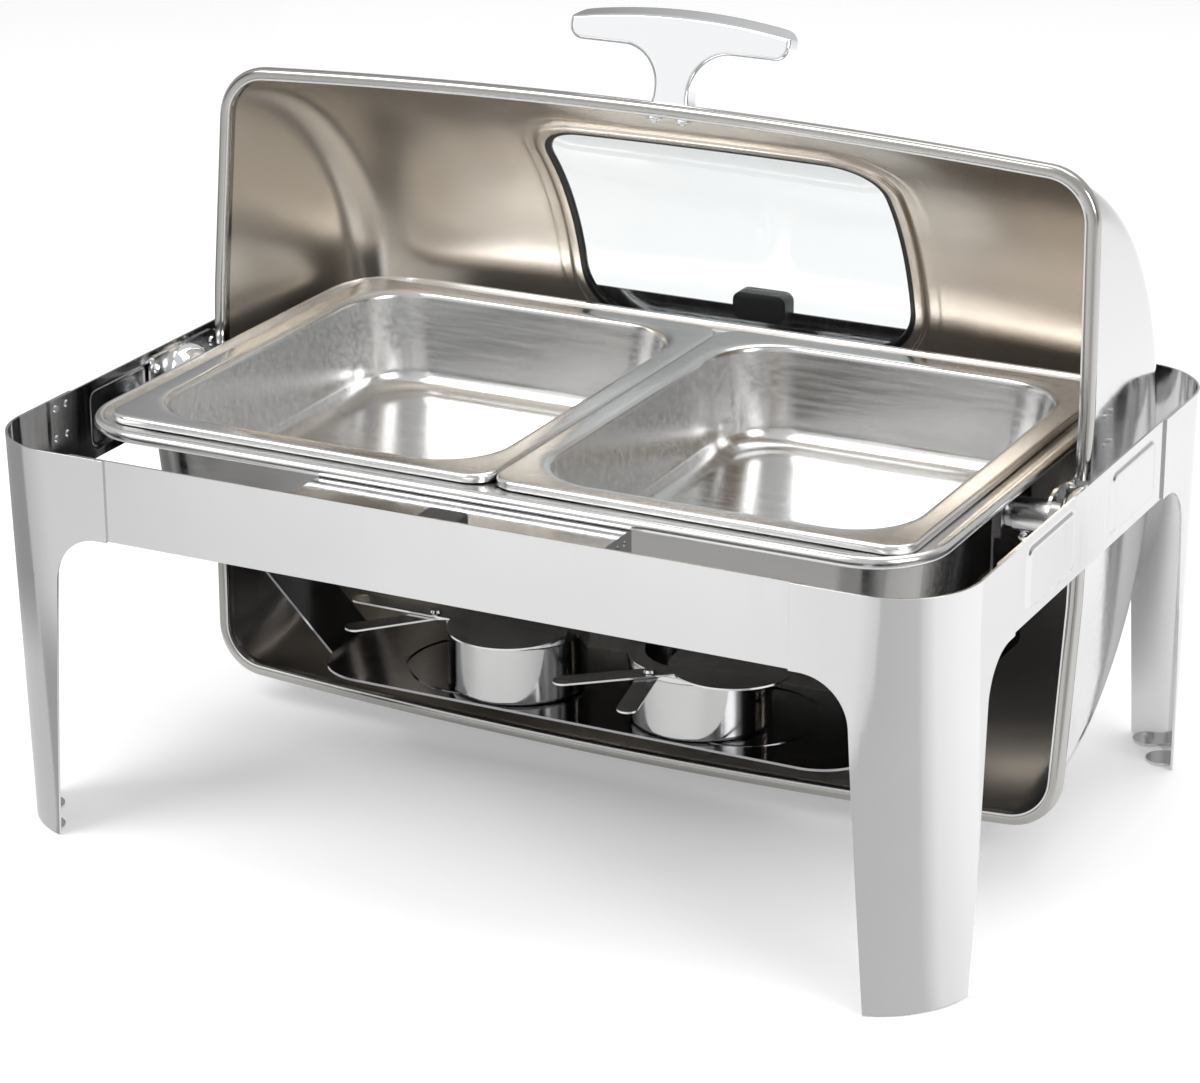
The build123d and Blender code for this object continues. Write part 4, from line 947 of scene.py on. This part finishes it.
def floor_glow():
    """Light on the floor for the steel alone to reflect; each upright strip of the stand sees its lane."""
    lanes = [(1.5 * k - 63, -1, -1, left_tone) for k in range(42)]
    lanes += [(0, k / 8 - 1, -1, front_tone) for k in range(17)]
    lanes += [(1.5 * k, 1, -1, right_tone) for k in range(61)]
    lanes += [(90, 1, k / 8 - 1, side_tone) for k in range(17)]
    vertices, faces, tones = [], [], []
    for facing, across, deep, tone in lanes:
        turn, way = radians(facing), radians(2 * facing - VIEW_TURN)
        for z in GLOW_HEIGHTS:
            radius = CORNER_FOOT + (CORNER_TOP - CORNER_FOOT) * min(z / STAND_HEIGHT, 1)
            x = across * (HALF_L - radius) + radius * sin(turn) + sin(way) * z / VIEW_FALL
            y = deep * (HALF_D - radius) - radius * cos(turn) - cos(way) * z / VIEW_FALL
            vertices.append((x * MM, y * MM, GLOW_Z))
            place = {front_tone: across, side_tone: deep}.get(tone, facing)
            tones.append(tone(place, z))
    rows = len(GLOW_HEIGHTS)
    for lane in range(len(lanes) - 1):
        for row in range(rows - 1):
            first = lane * rows + row
            faces.append([first, first + 1, first + 1 + rows, first + rows])
    mesh = bpy.data.meshes.new("floor_glow")
    mesh.from_pydata(vertices, [], faces)
    layer = mesh.color_attributes.new("tone", "FLOAT_COLOR", "POINT")
    for point, tone in zip(layer.data, tones):
        point.color = (*(tone ** 2.2,) * 3, 1)
    material, tree, shader = glow_material("floor_glow", 1.45)
    attribute = tree.nodes.new("ShaderNodeAttribute")
    attribute.attribute_name = "tone"
    tree.links.new(attribute.outputs["Color"], shader.inputs["Emission Color"])
    mesh.materials.append(material)
    reflected_only(new_object("floor_glow", mesh))


def handle_card():
    """White card for the handle's front face to reflect."""
    mesh = bpy.data.meshes.new("handle_card")
    mesh.from_pydata([(-0.5, -0.3, 0), (0.5, -0.3, 0), (0.5, 0.3, 0), (-0.5, 0.3, 0)], [], [[0, 1, 2, 3]])
    material, tree, shader = glow_material("handle_card", 1.04)
    shader.inputs["Emission Color"].default_value = (1, 1, 1, 1)
    mesh.materials.append(material)
    card = new_object("handle_card", mesh)
    card.location = (-0.75, -1.45, 0.86)
    card.rotation_euler = (Vector((0, 0.09, 0.46)) - card.location).to_track_quat("Z", "Y").to_euler()
    reflected_only(card)


def pale_floor():
    """Round pale floor."""
    radius, steps = 12, 64
    turns = [2 * pi * k / steps for k in range(steps)]
    mesh = bpy.data.meshes.new("floor")
    mesh.from_pydata([(radius * cos(t), radius * sin(t), FLOOR_Z) for t in turns], [], [list(range(steps))])
    material, tree, shader = new_material("floor")
    shader.inputs["Base Color"].default_value = (0.9, 0.9, 0.9, 1)
    shader.inputs["Roughness"].default_value = 0.8
    shader.inputs["Emission Color"].default_value = (1, 1, 1, 1)
    shader.inputs["Emission Strength"].default_value = 0.17
    mesh.materials.append(material)
    new_object("floor", mesh)


SURROUND_TONES = ((0.0, 0.9), (0.06, 0.85), (0.09, 0.25), (0.13, 0.25), (0.16, 0.95), (0.30, 1.0),
                  (0.36, 0.55), (0.40, 0.9), (0.48, 0.95), (0.53, 0.3), (0.57, 0.35), (0.62, 0.95),
                  (0.80, 0.9), (0.86, 0.35), (0.90, 0.4), (0.95, 0.9))      # share of the turn from -X, tone


def surround():
    """Light surround, white overhead, with darker bands round it for the steel to reflect."""
    world = bpy.data.worlds.new("studio")
    world.use_nodes = True
    bpy.context.scene.world = world
    tree = world.node_tree
    background = tree.nodes["Background"]
    coordinate = tree.nodes.new("ShaderNodeTexCoord")
    way = tree.nodes.new("ShaderNodeSeparateXYZ")
    tree.links.new(coordinate.outputs["Generated"], way.inputs[0])
    azimuth = tree.nodes.new("ShaderNodeMath")
    azimuth.operation = "ARCTAN2"
    tree.links.new(way.outputs["Y"], azimuth.inputs[0])
    tree.links.new(way.outputs["X"], azimuth.inputs[1])
    bands = tree.nodes.new("ShaderNodeValToRGB")
    tree.links.new(ranged(tree, azimuth.outputs[0], 0.0, 1.0, -pi, pi), bands.inputs["Fac"])
    ramp = bands.color_ramp
    while len(ramp.elements) < len(SURROUND_TONES):
        ramp.elements.new(0.5)
    for element, (place, tone) in zip(ramp.elements, SURROUND_TONES):
        element.position = place
        element.color = (tone, tone, tone, 1)
    height = ranged(tree, way.outputs["Z"], 0.0, 1.0, 0.35, 0.75)
    tree.links.new(tinted(tree, height, bands.outputs["Color"], (1.0, 1.0, 1.0)), background.inputs["Color"])
    background.inputs["Strength"].default_value = 0.68


LAMPS = (("key", (-1.4, -1.8, 2.4), (0, 0, 0.2), 1.6, 46), ("fill", (2.4, -1.0, 1.6), (0, 0, 0.2), 1.4, 24),
         ("top", (0.2, 0.6, 2.6), (0, 0.1, 0.2), 2.0, 24))      # place and aim in metres, size, power


def lamps():
    """Soft square lights."""
    for name, place, aim, size, power in LAMPS:
        light = bpy.data.lights.new(name, "AREA")
        light.shape = "SQUARE"
        light.size = size
        light.energy = power
        lamp = new_object(name, light)
        lamp.location = place
        lamp.rotation_euler = (Vector(aim) - Vector(place)).to_track_quat("-Z", "Y").to_euler()


CAMERA_PLACE, CAMERA_LENS = (1.02316, -2.03552, 1.01753), 117.22        # metres, millimetres
CAMERA_YAW, CAMERA_PITCH, CAMERA_ROLL = 0.46898, 0.35874, -0.00235     # radians: from +Y, below level, tilt


def camera():
    """The photograph's view: a long lens to the right of the front, looking down a little."""
    level = cos(CAMERA_PITCH)
    look = Vector((-sin(CAMERA_YAW) * level, cos(CAMERA_YAW) * level, -sin(CAMERA_PITCH)))
    right = look.cross(Vector((0, 0, 1))).normalized()
    up = right.cross(look)
    turn, lift = cos(CAMERA_ROLL), sin(CAMERA_ROLL)
    right, up = right * turn + up * lift, up * turn - right * lift
    data = bpy.data.cameras.new("view")
    data.sensor_fit = "HORIZONTAL"
    data.sensor_width = 36.0
    data.lens = CAMERA_LENS
    view = new_object("view", data)
    basis = Matrix((right, up, -look)).transposed().to_4x4()
    view.matrix_world = Matrix.Translation(CAMERA_PLACE) @ basis
    bpy.context.scene.camera = view


pale_floor()
surround()
floor_glow()
handle_card()
lamps()
camera()
bpy.context.scene.view_settings.view_transform = "Standard"
